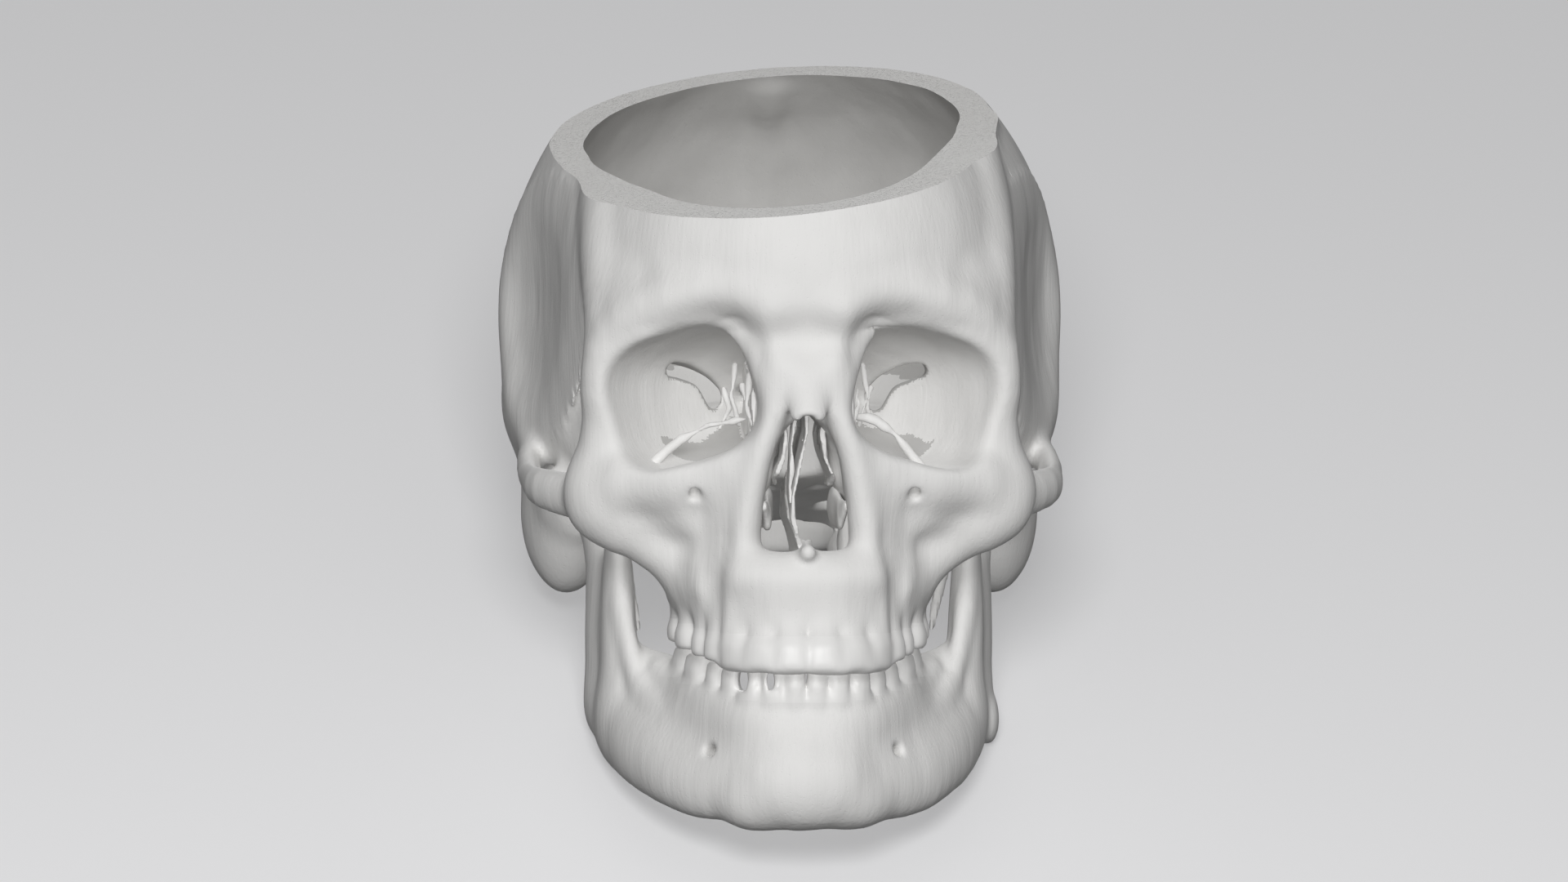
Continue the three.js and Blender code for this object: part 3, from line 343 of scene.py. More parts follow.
@dataclass(frozen=True)
class Orbit:
    """The eye socket: a rounded square that droops to the side and narrows towards its apex."""

    rim: Triple
    apex: Triple
    half: Pair
    droop: float = 15.0
    squareness: float = 3.0
    narrowing: float = 2.2
    overshoot: float = 1.08
    least: float = 0.02
    spread: float = 1.3
    ahead: float = 25.0
    behind: float = 8.0

    def span(self) -> Span:
        """Return the corners of the box round the form.

        Returns:
            Its lowest and its highest corner.
        """
        reach = max(self.half) * self.spread
        return (
            (min(self.rim[0], self.apex[0]) - reach, self.rim[1] - self.ahead, self.rim[2] - reach),
            (self.rim[0] + reach, self.apex[1] + self.behind, self.rim[2] + reach),
        )

    def distance(self, x: np.ndarray, y: np.ndarray, z: np.ndarray) -> np.ndarray:
        """Return how far each point lies from the wall of the socket.

        Args:
            x: Coordinates of the points along x.
            y: Coordinates along y.
            z: Coordinates along z.

        Returns:
            The distances, negative inside.
        """
        turn = math.radians(self.droop)
        depth = (self.apex[1] - self.rim[1]) * self.overshoot
        inward = np.clip((y - self.rim[1]) / (self.apex[1] - self.rim[1]), 0, 1)
        dx = x - (self.rim[0] + inward * (self.apex[0] - self.rim[0]))
        dz = z - (self.rim[2] + inward * (self.apex[2] - self.rim[2]))
        left = np.maximum(1 - np.clip((y - self.rim[1]) / depth, 0, 1) ** self.narrowing, self.least)
        u = np.abs(dx * math.cos(turn) - dz * math.sin(turn)) / (self.half[0] * left)
        v = np.abs(dx * math.sin(turn) + dz * math.cos(turn)) / (self.half[1] * left)
        near = (u**self.squareness + v**self.squareness) ** (1 / self.squareness)
        return np.maximum((near - 1) * min(self.half) * left, y - self.rim[1] - depth)


@dataclass(frozen=True)
class Plate:
    """A thin plate that stands in the side view's plane and bends sideways with height.

    Its outline is a closed row of (y, z) corners. Its bend is a row of (z, x) places.
    """

    outline: tuple[Pair, ...]
    bend: tuple[Pair, ...]
    thickness: float

    def span(self) -> Span:
        """Return the corners of the box round the form.

        Returns:
            Its lowest and its highest corner.
        """
        rows = ([x for _, x in self.bend], *zip(*self.outline))
        edge = self.thickness
        return tuple(min(row) - edge for row in rows), tuple(max(row) + edge for row in rows)

    def distance(self, x: np.ndarray, y: np.ndarray, z: np.ndarray) -> np.ndarray:
        """Return how far each point lies from the plate.

        Args:
            x: Coordinates of the points along x.
            y: Coordinates along y.
            z: Coordinates along z.

        Returns:
            The distances, negative inside.
        """
        bend_z, bend_x = zip(*self.bend)
        off = np.abs(x - np.interp(z, bend_z, bend_x)) - self.thickness / 2
        return np.maximum(off, self.edge_distance(y, z))

    def edge_distance(self, y: np.ndarray, z: np.ndarray) -> np.ndarray:
        """Return how far each point lies from the outline in the side view.

        Args:
            y: Coordinates of the points along y.
            z: Coordinates along z.

        Returns:
            The distances, negative inside.
        """
        shape = np.broadcast_shapes(y.shape, z.shape)
        nearest = np.full(shape, FAR * FAR)
        inside = np.zeros(shape, bool)
        for (ay, az), (by, bz) in zip(self.outline, self.outline[1:] + self.outline[:1]):
            ey, ez = by - ay, bz - az
            t = np.clip(((y - ay) * ey + (z - az) * ez) / (ey * ey + ez * ez), 0, 1)
            nearest = np.minimum(nearest, (y - ay - t * ey) ** 2 + (z - az - t * ez) ** 2)
            if bz != az:
                crosses = (az > z) != (bz > z)
                inside ^= crosses & (y < ay + (z - az) * ey / ez)
        return np.where(inside, -1, 1) * np.sqrt(nearest)


@dataclass(frozen=True)
class Relief:
    """Smooth random waves of a surface: their height, their length along each axis and their seed."""

    height: float
    length: Triple
    seed: int


@dataclass(frozen=True)
class Step:
    """One form, what it does, and over how many millimetres it blends in."""

    act: Act
    blend: float
    form: Form


def through(places: np.ndarray, parts: int) -> np.ndarray:
    """Return finer places along the smooth curve through some places.

    Args:
        places: One row of numbers for each place.
        parts: How many parts each stretch of the curve is split into.

    Returns:
        The finer rows, which keep the first and the last place.
    """
    ends = np.vstack([2 * places[0] - places[1], places, 2 * places[-1] - places[-2]])
    t = np.linspace(0, 1, parts, endpoint=False)[:, None]
    rows = []
    for a, b, c, d in zip(ends, ends[1:], ends[2:], ends[3:]):
        bend, twist = 2 * a - 5 * b + 4 * c - d, 3 * b - a - 3 * c + d
        rows.append(0.5 * (2 * b + (c - a) * t + bend * t**2 + twist * t**3))
    return np.vstack([*rows, places[-1:]])


def add(blend: float, form: Form) -> Step:
    """Return a step that adds a form."""
    return Step(Act.ADD, blend, form)


def cut(blend: float, form: Form) -> Step:
    """Return a step that cuts a form away."""
    return Step(Act.CUT, blend, form)


def ball(x: float, y: float, z: float, rx: float, ry: float, rz: float) -> Ball:
    """Return a ball from its centre and its radii."""
    return Ball((x, y, z), (rx, ry, rz))


def chain(*rows: tuple[float, float, float, float, float, float]) -> Chain:
    """Return a chain that runs in smooth bends through rows of a centre and three radii."""
    fine = through(np.array(rows, float), BEND_PARTS if len(rows) > 2 else 1)
    return Chain(tuple((tuple(row[:3]), tuple(row[3:])) for row in fine.tolist()))


def rod(radius: float, *places: Triple) -> Chain:
    """Return a chain of one radius through places."""
    return Chain(tuple((place, (radius, radius, radius)) for place in places))


# ---------------------------------------------------------------------------------------------- solids


class Solid:
    """A closed mesh that other solids can join, cut or bound."""

    def __init__(self, name: str, points: np.ndarray, faces: list[np.ndarray]) -> None:
        """Make the mesh and its object.

        Args:
            name: The name of the object.
            points: One row of three coordinates for each point.
            faces: Arrays of point numbers, one row for each face.
        """
        mesh = bpy.data.meshes.new(name)
        sizes = np.concatenate([np.full(len(rows), rows.shape[1]) for rows in faces])
        corners = np.concatenate([rows.ravel() for rows in faces])
        mesh.vertices.add(len(points))
        mesh.vertices.foreach_set("co", np.asarray(points, np.float32).ravel())
        mesh.loops.add(len(corners))
        mesh.loops.foreach_set("vertex_index", corners.astype(np.int32))
        mesh.polygons.add(len(sizes))
        starts = np.concatenate([[0], np.cumsum(sizes)[:-1]])
        mesh.polygons.foreach_set("loop_start", starts.astype(np.int32))
        mesh.update(calc_edges=True)
        self.obj = bpy.data.objects.new(name, mesh)
        bpy.context.scene.collection.objects.link(self.obj)

    def copy(self, name: str) -> "Solid":
        """Return a copy of this solid.

        Args:
            name: The name of the copy.

        Returns:
            The copy, which is in the scene as well.
        """
        other = Solid.__new__(Solid)
        other.obj = self.obj.copy()
        other.obj.data = self.obj.data.copy()
        other.obj.name = name
        bpy.context.scene.collection.objects.link(other.obj)
        return other

    def shape(self, tool: "Solid", how: Shaping) -> "Solid":
        """Join, cut or bound this solid by another.

        Args:
            tool: The other solid, which stays as it is.
            how: What the other does to this one.

        Returns:
            This solid.
        """
        if not self.obj.data.polygons or not tool.obj.data.polygons:
            return self
        modifier = self.obj.modifiers.new("shape", "BOOLEAN")
        modifier.operation = how.value
        modifier.solver = "MANIFOLD"
        modifier.object = tool.obj
        shaped = self.obj.evaluated_get(bpy.context.evaluated_depsgraph_get())
        mesh = bpy.data.meshes.new_from_object(shaped)
        self.obj.modifiers.clear()
        old = self.obj.data
        self.obj.data = mesh
        bpy.data.meshes.remove(old)
        return self

    def discard(self) -> None:
        """Remove the solid from the scene."""
        mesh = self.obj.data
        bpy.data.objects.remove(self.obj)
        bpy.data.meshes.remove(mesh)


class Sculpt:
    """A block of points that holds how far each of them lies outside the bone."""

    def __init__(self, low: Triple, high: Triple, pitch: float) -> None:
        """Make an empty block.

        Args:
            low: Its lowest corner.
            high: Its highest corner.
            pitch: The distance between neighbouring points.
        """
        self.pitch = pitch
        first = np.floor(np.array(low) / pitch) * pitch
        counts = np.ceil((np.array(high) - first) / pitch).astype(int) + 1
        self.axes = [
            (start + pitch * np.arange(count)).astype(np.float32)
            for start, count in zip(first, counts)
        ]
        self.values = np.full(tuple(counts), FAR, np.float32)

    def near(self, span: Span, margin: float) -> Slices:
        """Return the part of the block that holds a box and a margin round it.

        Args:
            span: The two corners of the box.
            margin: The margin, in millimetres.

        Returns:
            A slice along each axis.
        """
        slices = []
        for axis, low, high in zip(self.axes, *span):
            start = int(np.searchsorted(axis, low - margin))
            slices.append(slice(start, int(np.searchsorted(axis, high + margin))))
        return tuple(slices)

    def coordinates(self, slices: Slices) -> tuple[np.ndarray, np.ndarray, np.ndarray]:
        """Return the three coordinates of part of the block, each along its own axis."""
        x, y, z = (axis[part] for axis, part in zip(self.axes, slices))
        return x[:, None, None], y[None, :, None], z[None, None, :]

    def apply(self, steps: Iterable[Step]) -> "Sculpt":
        """Add and cut forms in order.

        Args:
            steps: The forms, with what each does.

        Returns:
            This block.
        """
        for step in steps:
            slices = self.near(step.form.span(), step.blend + 3 * self.pitch)
            if any(part.stop <= part.start for part in slices):
                continue
            distance = step.form.distance(*self.coordinates(slices)).astype(np.float32)
            block = self.values[slices]
            if step.act is Act.ADD:
                block[...] = blended_union(block, distance, step.blend)
            else:
                block[...] = -blended_union(-block, distance, step.blend)
        return self

    def mirror(self) -> "Sculpt":
        """Repeat the left half of the block on the right.

        Returns:
            This block.
        """
        self.values = np.concatenate([self.values[:0:-1], self.values], axis=0)
        self.axes[0] = np.concatenate([-self.axes[0][:0:-1], self.axes[0]])
        return self

    def waves(self, length: Triple, seed: int) -> np.ndarray:
        """Return smooth random values for the whole block.

        Args:
            length: How long the waves are along each axis.
            seed: What the random numbers start from.

        Returns:
            Values between about -1 and 1.
        """
        dice = np.random.default_rng(seed)
        counts = [int(2 * WAVE_REACH / own) + 4 for own in length]
        values = dice.uniform(-1, 1, counts).astype(np.float32)
        for number, (axis, own, count) in enumerate(zip(self.axes, length, counts)):
            place = (axis + WAVE_REACH) / own
            base = np.floor(place).astype(int)
            t = (place - base).astype(np.float32)
            weights = np.zeros((len(axis), count), np.float32)
            rows = np.arange(len(axis))
            weights[rows, base] = 0.5 * (1 - t) ** 2
            weights[rows, base + 1] = 0.5 + t * (1 - t)
            weights[rows, base + 2] = 0.5 * t * t
            values = np.moveaxis(np.tensordot(weights, values, axes=(1, number)), 0, number)
        return WAVE_GAIN * values

    def roughen(self, relief: Relief, where: Form | None = None) -> "Sculpt":
        """Raise and sink the surface by smooth random amounts.

        Args:
            relief: The waves.
            where: The form inside which this happens, or the whole block.

        Returns:
            This block.
        """
        change = relief.height * self.waves(relief.length, relief.seed)
        if where is not None:
            everywhere = tuple(slice(0, len(axis)) for axis in self.axes)
            outside = where.distance(*self.coordinates(everywhere))
            change = change * np.clip(0.5 - outside / FADE, 0, 1)
        self.values += change.astype(np.float32)
        return self

    def skin(self, name: str, smoothing: int = 1) -> Solid:
        """Return the surface of the bone as a solid.

        Args:
            name: The name of the solid.
            smoothing: How many times each point moves halfway to the middle of its neighbours.

        Returns:
            The largest separate body in the block.
        """
        limit = 3 * self.pitch
        values = np.full([count + 2 for count in self.values.shape], limit, np.float32)
        values[1:-1, 1:-1, 1:-1] = np.clip(self.values, -limit, limit)
        grid = openvdb.FloatGrid(limit)
        grid.copyFromArray(values)
        points, triangles, quads = grid.convertToPolygons(isovalue=0.0, adaptivity=0.0)
        first = np.array([axis[0] for axis in self.axes]) - self.pitch
        points = points.astype(np.float64) * self.pitch + first
        quads = quads.astype(np.int64)
        points, quads = largest_body(points, quads)
        for _ in range(smoothing):
            points = eased(points, quads)
        corners = points[quads]
        volume = np.einsum("ij,ij->i", corners[:, 0], np.cross(corners[:, 1], corners[:, 2])).sum()
        volume += np.einsum("ij,ij->i", corners[:, 0], np.cross(corners[:, 2], corners[:, 3])).sum()
        if volume < 0:
            quads = quads[:, ::-1]
        return Solid(name, points, [quads])


def largest_body(points: np.ndarray, quads: np.ndarray) -> tuple[np.ndarray, np.ndarray]:
    """Return only the body with the most faces.

    Args:
        points: The points of the mesh.
        quads: Its faces.

    Returns:
        The points and faces of that body.
    """
    labels = np.arange(len(points))
    while True:
        lowest = labels[quads].min(axis=1)
        before = labels.copy()
        for corner in range(4):
            np.minimum.at(labels, quads[:, corner], lowest)
        labels = labels[labels]
        if np.array_equal(before, labels):
            break
    own = labels[quads[:, 0]]
    names, counts = np.unique(own, return_counts=True)
    kept = quads[own == names[np.argmax(counts)]]
    used = np.unique(kept)
    renamed = np.zeros(len(points), np.int64)
    renamed[used] = np.arange(len(used))
    return points[used], renamed[kept]


def eased(points: np.ndarray, quads: np.ndarray) -> np.ndarray:
    """Return points that have moved halfway to the middle of their neighbours.

    Args:
        points: The points of the mesh.
        quads: Its faces.

    Returns:
        The moved points.
    """
    total = np.zeros_like(points)
    count = np.zeros(len(points))
    for corner in range(4):
        here, there = quads[:, corner], quads[:, (corner + 1) % 4]
        for axis in range(3):
            total[:, axis] += np.bincount(here, points[there, axis], len(points))
            total[:, axis] += np.bincount(there, points[here, axis], len(points))
        count += np.bincount(here, minlength=len(points)) + np.bincount(there, minlength=len(points))
    return (points + total / np.maximum(count, 1)[:, None]) / 2


@dataclass(frozen=True)
class Outline:
    """A closed outline in one view, pushed straight through the skull between two depths."""

    view: View
    corners: tuple[Pair, ...]
    depths: Pair = (-140.0, 140.0)

    def mirrored(self) -> "Outline":
        """Return the outline of the other side.

        Returns:
            The mirrored outline.
        """
        if self.view is View.SIDE:
            return Outline(self.view, self.corners, (-self.depths[1], -self.depths[0]))
        return Outline(self.view, tuple((-u, v) for u, v in self.corners), self.depths)

    def place(self, u: float, v: float, depth: float) -> Triple:
        """Return a corner of the outline at a depth.

        Args:
            u: Its place across the view.
            v: Its place up the view.
            depth: How deep into the view it lies.

        Returns:
            The place in the frame of the skull.
        """
        if self.view is View.SIDE:
            return depth, u, v
        return (u, v, depth) if self.view is View.TOP else (u, -depth, v)

    def solid(self, name: str) -> Solid:
        """Return the outline as a solid.

        Args:
            name: The name of the solid.

        Returns:
            The solid between the two depths.
        """
        count = len(self.corners)
        points = np.array([self.place(u, v, depth) for depth in self.depths for u, v in self.corners])
        ends = [list(range(count))[::-1], list(range(count, 2 * count))]
        walls = [[n, (n + 1) % count, (n + 1) % count + count, n + count] for n in range(count)]
        signed = sum(
            a[0] * b[1] - b[0] * a[1]
            for a, b in zip(self.corners, self.corners[1:] + self.corners[:1])
        )
        faces = ends + walls
        turned = faces if signed > 0 else [face[::-1] for face in faces]
        return Solid(name, points, [np.array([face]) for face in turned])


# ---------------------------------------------------------------------------------------------- pose


@dataclass(frozen=True)
class Pose:
    """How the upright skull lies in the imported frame, and how it is seen in the photograph."""

    saw_height: float = 87.1
    saw_slope: float = 13.0
    saw_roll: float = 5.8
    hinge: Triple = (0.0, -12.0, -3.0)
    camera_yaw: float = 3.7
    camera_rise: float = 1.5
    saw_reach: float = 200.0

    @property
    def saw_turn(self) -> Matrix:
        """Return how the saw cut is turned from level, on the upright skull.

        Returns:
            The rotation.
        """
        roll = Matrix.Rotation(math.radians(-self.saw_roll), 4, "Y")
        return roll @ Matrix.Rotation(math.radians(self.saw_slope), 4, "X")

    @property
    def saw_normal(self) -> Vector:
        """Return the direction that the saw cut faces, on the upright skull."""
        return self.saw_turn @ Vector((0, 0, 1))

    def rest(self, frame: dict) -> Matrix:
        """Return the matrix from the upright skull, in millimetres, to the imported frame, in metres.

        Args:
            frame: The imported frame, whose rim mount and jaw hinge give the lean and the place.

        Returns:
            The matrix.
        """
        rim = next(mount for mount in frame["record"]["mounts"] if mount["name"] == "sawn_rim")
        upright, leaned = self.saw_normal, Vector(rim["axis"])
        tilt = math.atan2(leaned.z, leaned.y) - math.atan2(upright.z, upright.y)
        turn = Matrix.Rotation(tilt, 4, "X") @ Matrix.Scale(METRES, 4)
        hinge = next(joint for joint in frame["joints"] if joint["name"] == "jaw_hinge")
        return Matrix.Translation(Vector(hinge["pos_m"]) - turn @ Vector(self.hinge)) @ turn

    def saw_block(self) -> Solid:
        """Return a block that fills the space above the saw cut.

        Returns:
            The block.
        """
        reach = self.saw_reach
        square = ((-reach, -reach), (reach, -reach), (reach, reach), (-reach, reach))
        block = Outline(View.TOP, square, (0, reach)).solid("saw")
        block.obj.data.transform(Matrix.Translation((0, 0, self.saw_height)) @ self.saw_turn)
        return block


# ---------------------------------------------------------------------------------------------- finishes


def socket_group(name: str, inputs: dict[str, float], outputs: dict[str, str]) -> bpy.types.NodeTree:
    """Return a new shader node group with named sockets.

    Args:
        name: The name of the group.
        inputs: The name and the first value of each number that goes in.
        outputs: The name and the socket type of each result.

    Returns:
        The group, with its two end nodes named "in" and "out".
    """
    group = bpy.data.node_groups.new(name, "ShaderNodeTree")
    for label, value in inputs.items():
        socket = group.interface.new_socket(label, in_out="INPUT", socket_type="NodeSocketFloat")
        socket.default_value = value
    for label, kind in outputs.items():
        group.interface.new_socket(label, in_out="OUTPUT", socket_type=kind)
    for label, kind in (("in", "NodeGroupInput"), ("out", "NodeGroupOutput")):
        node = group.nodes.new(kind)
        node.name = label
    return group


def math_node(tree: bpy.types.NodeTree, operation: str, *values: object) -> bpy.types.NodeSocket:
    """Return the result of a math node.

    Args:
        tree: The tree that the node goes into.
        operation: What the node does.
        values: Its inputs, as numbers or as sockets.

    Returns:
        The socket with the result.
    """
    node = tree.nodes.new("ShaderNodeMath")
    node.operation = operation
    for socket, value in zip(node.inputs, values):
        if isinstance(value, bpy.types.NodeSocket):
            tree.links.new(value, socket)
        else:
            socket.default_value = value
    return node.outputs[0]


def noise_node(
    tree: bpy.types.NodeTree, vector: bpy.types.NodeSocket, scale: object, detail: float
) -> bpy.types.NodeSocket:
    """Return the value of a noise texture.

    Args:
        tree: The tree that the node goes into.
        vector: Where the noise is read.
        scale: Its scale, as a number or as a socket.
        detail: How many finer layers it has.

    Returns:
        The socket with the value.
    """
    node = tree.nodes.new("ShaderNodeTexNoise")
    node.inputs["Detail"].default_value = detail
    tree.links.new(vector, node.inputs["Vector"])
    if isinstance(scale, bpy.types.NodeSocket):
        tree.links.new(scale, node.inputs["Scale"])
    else:
        node.inputs["Scale"].default_value = scale
    return node.outputs[0]


class Effects:
    """The shader groups that the finishes share."""

    grain_detail = 3.0
    mottle_detail = 4.0

    def __init__(self, lean: float) -> None:
        """Make the groups.

        Args:
            lean: How far the skull leans back, in radians, so that its grain can run upright.
        """
        self.grain = self.make_grain(lean)
        self.mottle = self.make_mottle()
        self.pits = self.make_pits()

    @staticmethod
    def make_grain(lean: float) -> bpy.types.NodeTree:
        """Return the fine upright streaks of the bone's outer table.

        Args:
            lean: How far the skull leans back, in radians.

        Returns:
            The group, which puts out a height.
        """
        inputs = {"Scale": 900.0, "Stretch": 0.06}
        group = socket_group("upright grain", inputs, {"Height": "NodeSocketFloat"})
        nodes, links = group.nodes, group.links
        place = nodes.new("ShaderNodeTexCoord")
        lift = nodes.new("ShaderNodeMapping")
        lift.inputs["Rotation"].default_value = (lean, 0, 0)
        links.new(place.outputs["Object"], lift.inputs["Vector"])
        apart = nodes.new("ShaderNodeSeparateXYZ")
        links.new(lift.outputs[0], apart.inputs[0])
        together = nodes.new("ShaderNodeCombineXYZ")
        links.new(apart.outputs["X"], together.inputs["X"])
        links.new(apart.outputs["Y"], together.inputs["Y"])
        stretched = math_node(group, "MULTIPLY", apart.outputs["Z"], nodes["in"].outputs["Stretch"])
        links.new(stretched, together.inputs["Z"])
        scale = nodes["in"].outputs["Scale"]
        value = noise_node(group, together.outputs[0], scale, Effects.grain_detail)
        links.new(value, nodes["out"].inputs["Height"])
        return group

    @staticmethod
    def make_mottle() -> bpy.types.NodeTree:
        """Return the soft patches of lighter and darker bone.

        Returns:
            The group, which puts out a mask.
        """
        group = socket_group("mottle", {"Scale": 45.0, "Contrast": 1.0}, {"Mask": "NodeSocketFloat"})
        nodes, links = group.nodes, group.links
        place = nodes.new("ShaderNodeTexCoord")
        scale = nodes["in"].outputs["Scale"]
        value = noise_node(group, place.outputs["Object"], scale, Effects.mottle_detail)
        centred = math_node(group, "SUBTRACT", value, 0.5)
        wide = math_node(group, "MULTIPLY", centred, nodes["in"].outputs["Contrast"])
        links.new(math_node(group, "ADD", wide, 0.5), nodes["out"].inputs["Mask"])
        return group

    @staticmethod
    def make_pits() -> bpy.types.NodeTree:
        """Return the small pores of dry or sawn bone, deep at their middles.

        Returns:
            The group, which puts out a height.
        """
        group = socket_group("pits", {"Scale": 700.0, "Size": 0.3}, {"Height": "NodeSocketFloat"})
        nodes, links = group.nodes, group.links
        place = nodes.new("ShaderNodeTexCoord")
        cells = nodes.new("ShaderNodeTexVoronoi")
        links.new(place.outputs["Object"], cells.inputs["Vector"])
        links.new(nodes["in"].outputs["Scale"], cells.inputs["Scale"])
        away = math_node(group, "DIVIDE", cells.outputs["Distance"], nodes["in"].outputs["Size"])
        links.new(math_node(group, "MINIMUM", away, 1.0), nodes["out"].inputs["Height"])
        return group


@dataclass(frozen=True)
class BoneFinish:
    """A dry, matte bone surface with soft patches, upright grain and pores."""

    name: str
    light: Triple
    dark: Triple
    rough: Pair
    grain_scale: float
    grain_height: float
    pit_scale: float
    pit_size: float
    pit_height: float
    specular: float = 0.25
    patch_scale: float = 60.0
    patch_contrast: float = 1.6

    def material(self, effects: Effects) -> bpy.types.Material:
        """Return the finish as a material.

        Args:
            effects: The shared shader groups.

        Returns:
            The new material.
        """
        material = bpy.data.materials.new(self.name)
        material.use_nodes = True
        tree = material.node_tree
        shader = tree.nodes["Principled BSDF"]
        shader.inputs["Specular IOR Level"].default_value = self.specular
        patches = {"Scale": self.patch_scale, "Contrast": self.patch_contrast}
        mottle = self.placed(tree, effects.mottle, patches)
        mix = tree.nodes.new("ShaderNodeMix")
        mix.data_type = "RGBA"
        mix.inputs["A"].default_value = (*self.dark, 1)
        mix.inputs["B"].default_value = (*self.light, 1)
        tree.links.new(mottle.outputs["Mask"], mix.inputs["Factor"])
        tree.links.new(mix.outputs["Result"], shader.inputs["Base Color"])
        span = math_node(tree, "MULTIPLY", mottle.outputs["Mask"], self.rough[1] - self.rough[0])
        tree.links.new(math_node(tree, "ADD", span, self.rough[0]), shader.inputs["Roughness"])
        grain = self.placed(tree, effects.grain, {"Scale": self.grain_scale})
        pits = self.placed(tree, effects.pits, {"Scale": self.pit_scale, "Size": self.pit_size})
        high = math_node(tree, "MULTIPLY", grain.outputs["Height"], self.grain_height)
        deep = math_node(tree, "MULTIPLY", pits.outputs["Height"], self.pit_height)
        bump = tree.nodes.new("ShaderNodeBump")
        bump.inputs["Distance"].default_value = METRES
        tree.links.new(math_node(tree, "ADD", high, deep), bump.inputs["Height"])
        tree.links.new(bump.outputs[0], shader.inputs["Normal"])
        return material

    @staticmethod
    def placed(
        tree: bpy.types.NodeTree, group: bpy.types.NodeTree, values: dict[str, float]
    ) -> bpy.types.Node:
        """Return a group node with its own values.

        Args:
            tree: The tree that the node goes into.
            group: The group that it shows.
            values: The value of each input.

        Returns:
            The node.
        """
        node = tree.nodes.new("ShaderNodeGroup")
        node.node_tree = group
        for label, value in values.items():
            node.inputs[label].default_value = value
        return node


@dataclass(frozen=True)
class Palette:
    """The finishes of the skull."""

    bone: BoneFinish = BoneFinish(
        name="dry bone",
        light=(0.735, 0.73, 0.72),
        dark=(0.67, 0.665, 0.655),
        rough=(0.55, 0.72),
        grain_scale=900.0,
        grain_height=0.1,
        pit_scale=850.0,
        pit_size=0.22,
        pit_height=0.05,
    )
    tooth: BoneFinish = BoneFinish(
        name="enamel",
        light=(0.76, 0.755, 0.745),
        dark=(0.7, 0.695, 0.685),
        rough=(0.38, 0.5),
        grain_scale=700.0,
        grain_height=0.04,
        pit_scale=500.0,
        pit_size=0.15,
        pit_height=0.01,
        specular=0.4,
    )
    # The inside of the braincase: a darker grey that is painted shade, standing in for the dim light in
    # there, with patches, grain and pores.
    inner: BoneFinish = BoneFinish(
        name="inner table",
        light=(0.5, 0.495, 0.485),
        dark=(0.42, 0.415, 0.405),
        rough=(0.55, 0.7),
        grain_scale=500.0,
        grain_height=0.06,
        pit_scale=850.0,
        pit_size=0.25,
        pit_height=0.04,
    )
    sawn: BoneFinish = BoneFinish(
        name="sawn bone",
        light=(0.84, 0.835, 0.82),
        dark=(0.76, 0.75, 0.735),
        rough=(0.7, 0.85),
        grain_scale=1400.0,
        grain_height=0.12,
        pit_scale=1500.0,
        pit_size=0.5,
        pit_height=0.22,
    )


@dataclass
class Dresser:
    """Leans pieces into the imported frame, gives them their finish and ties them to it."""

    rest: Matrix
    saw_normal: Vector
    saw_height: float
    bone: bpy.types.Material
    tooth: bpy.types.Material
    sawn: bpy.types.Material
    # the finish of the brain space, darkened as painted shade
    inner: bpy.types.Material
    inner_space: Egg
    crease: float = 38.0
    level: float = 0.999
    saw_depth: float = 0.02
    floor_slope: float = 0.3

    def dress(self, solid: Solid, node: str, body: Body, slot: Slot) -> None:
        """Finish one piece.

        Args:
            solid: The piece, upright and in millimetres.
            node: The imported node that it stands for.
            body: The body that it rides on.
            slot: The material slot of the record.
        """
        obj, mesh = solid.obj, solid.obj.data
        obj.name = f"{node}.fine"
        mesh.materials.clear()
        mesh.materials.append(self.tooth if slot is Slot.TOOTH else self.bone)
        mesh.materials.append(self.sawn)
        mesh.materials.append(self.inner)
        self.mark_faces(mesh)
        mesh.transform(self.rest)
        mesh.shade_smooth()
        mesh.set_sharp_from_angle(angle=math.radians(self.crease))
        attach(obj, body.value)
        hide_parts(node)
        log.info("%s: %d faces", obj.name, len(mesh.polygons))

    def mark_faces(self, mesh: bpy.types.Mesh) -> None:
        """Give the saw cut its own finish, and the brain space a darker finish of painted shade.

        Args:
            mesh: The mesh of a piece, upright and in millimetres, with these as its second and third
                materials.
        """
        count = len(mesh.polygons)
        normals, centres = np.empty(count * 3, np.float32), np.empty(count * 3, np.float32)
        mesh.polygons.foreach_get("normal", normals)
        mesh.polygons.foreach_get("center", centres)
        normals, centres = normals.reshape(-1, 3), centres.reshape(-1, 3)
        direction = np.array(self.saw_normal)
        off_saw = np.abs((centres - (0, 0, self.saw_height)) @ direction)
        sawn = (normals @ direction > self.level) & (off_saw < self.saw_depth)
        x, y, z = centres.T
        # Inward faces inside the brain space take the third material, whose darker grey is painted
        # shade.
        inwards = (normals * (np.array(self.inner_space.centre) - centres)).sum(axis=1) > 0
        inside = (self.inner_space.distance(x, y, z) < 0) & inwards & (z > y * self.floor_slope)
        own = np.where(sawn, 1, np.where(inside, 2, 0))
        mesh.polygons.foreach_set("material_index", own.astype(np.int32))


# ---------------------------------------------------------------------------------------------- teeth


@dataclass(frozen=True)
class Tooth:
    """One tooth: its widths, heights and lean, with its place along the arch."""

    name: str
    width: float
    depth: float
    edge: float
    neck: float
    root: float
    lean: float
    broad: bool


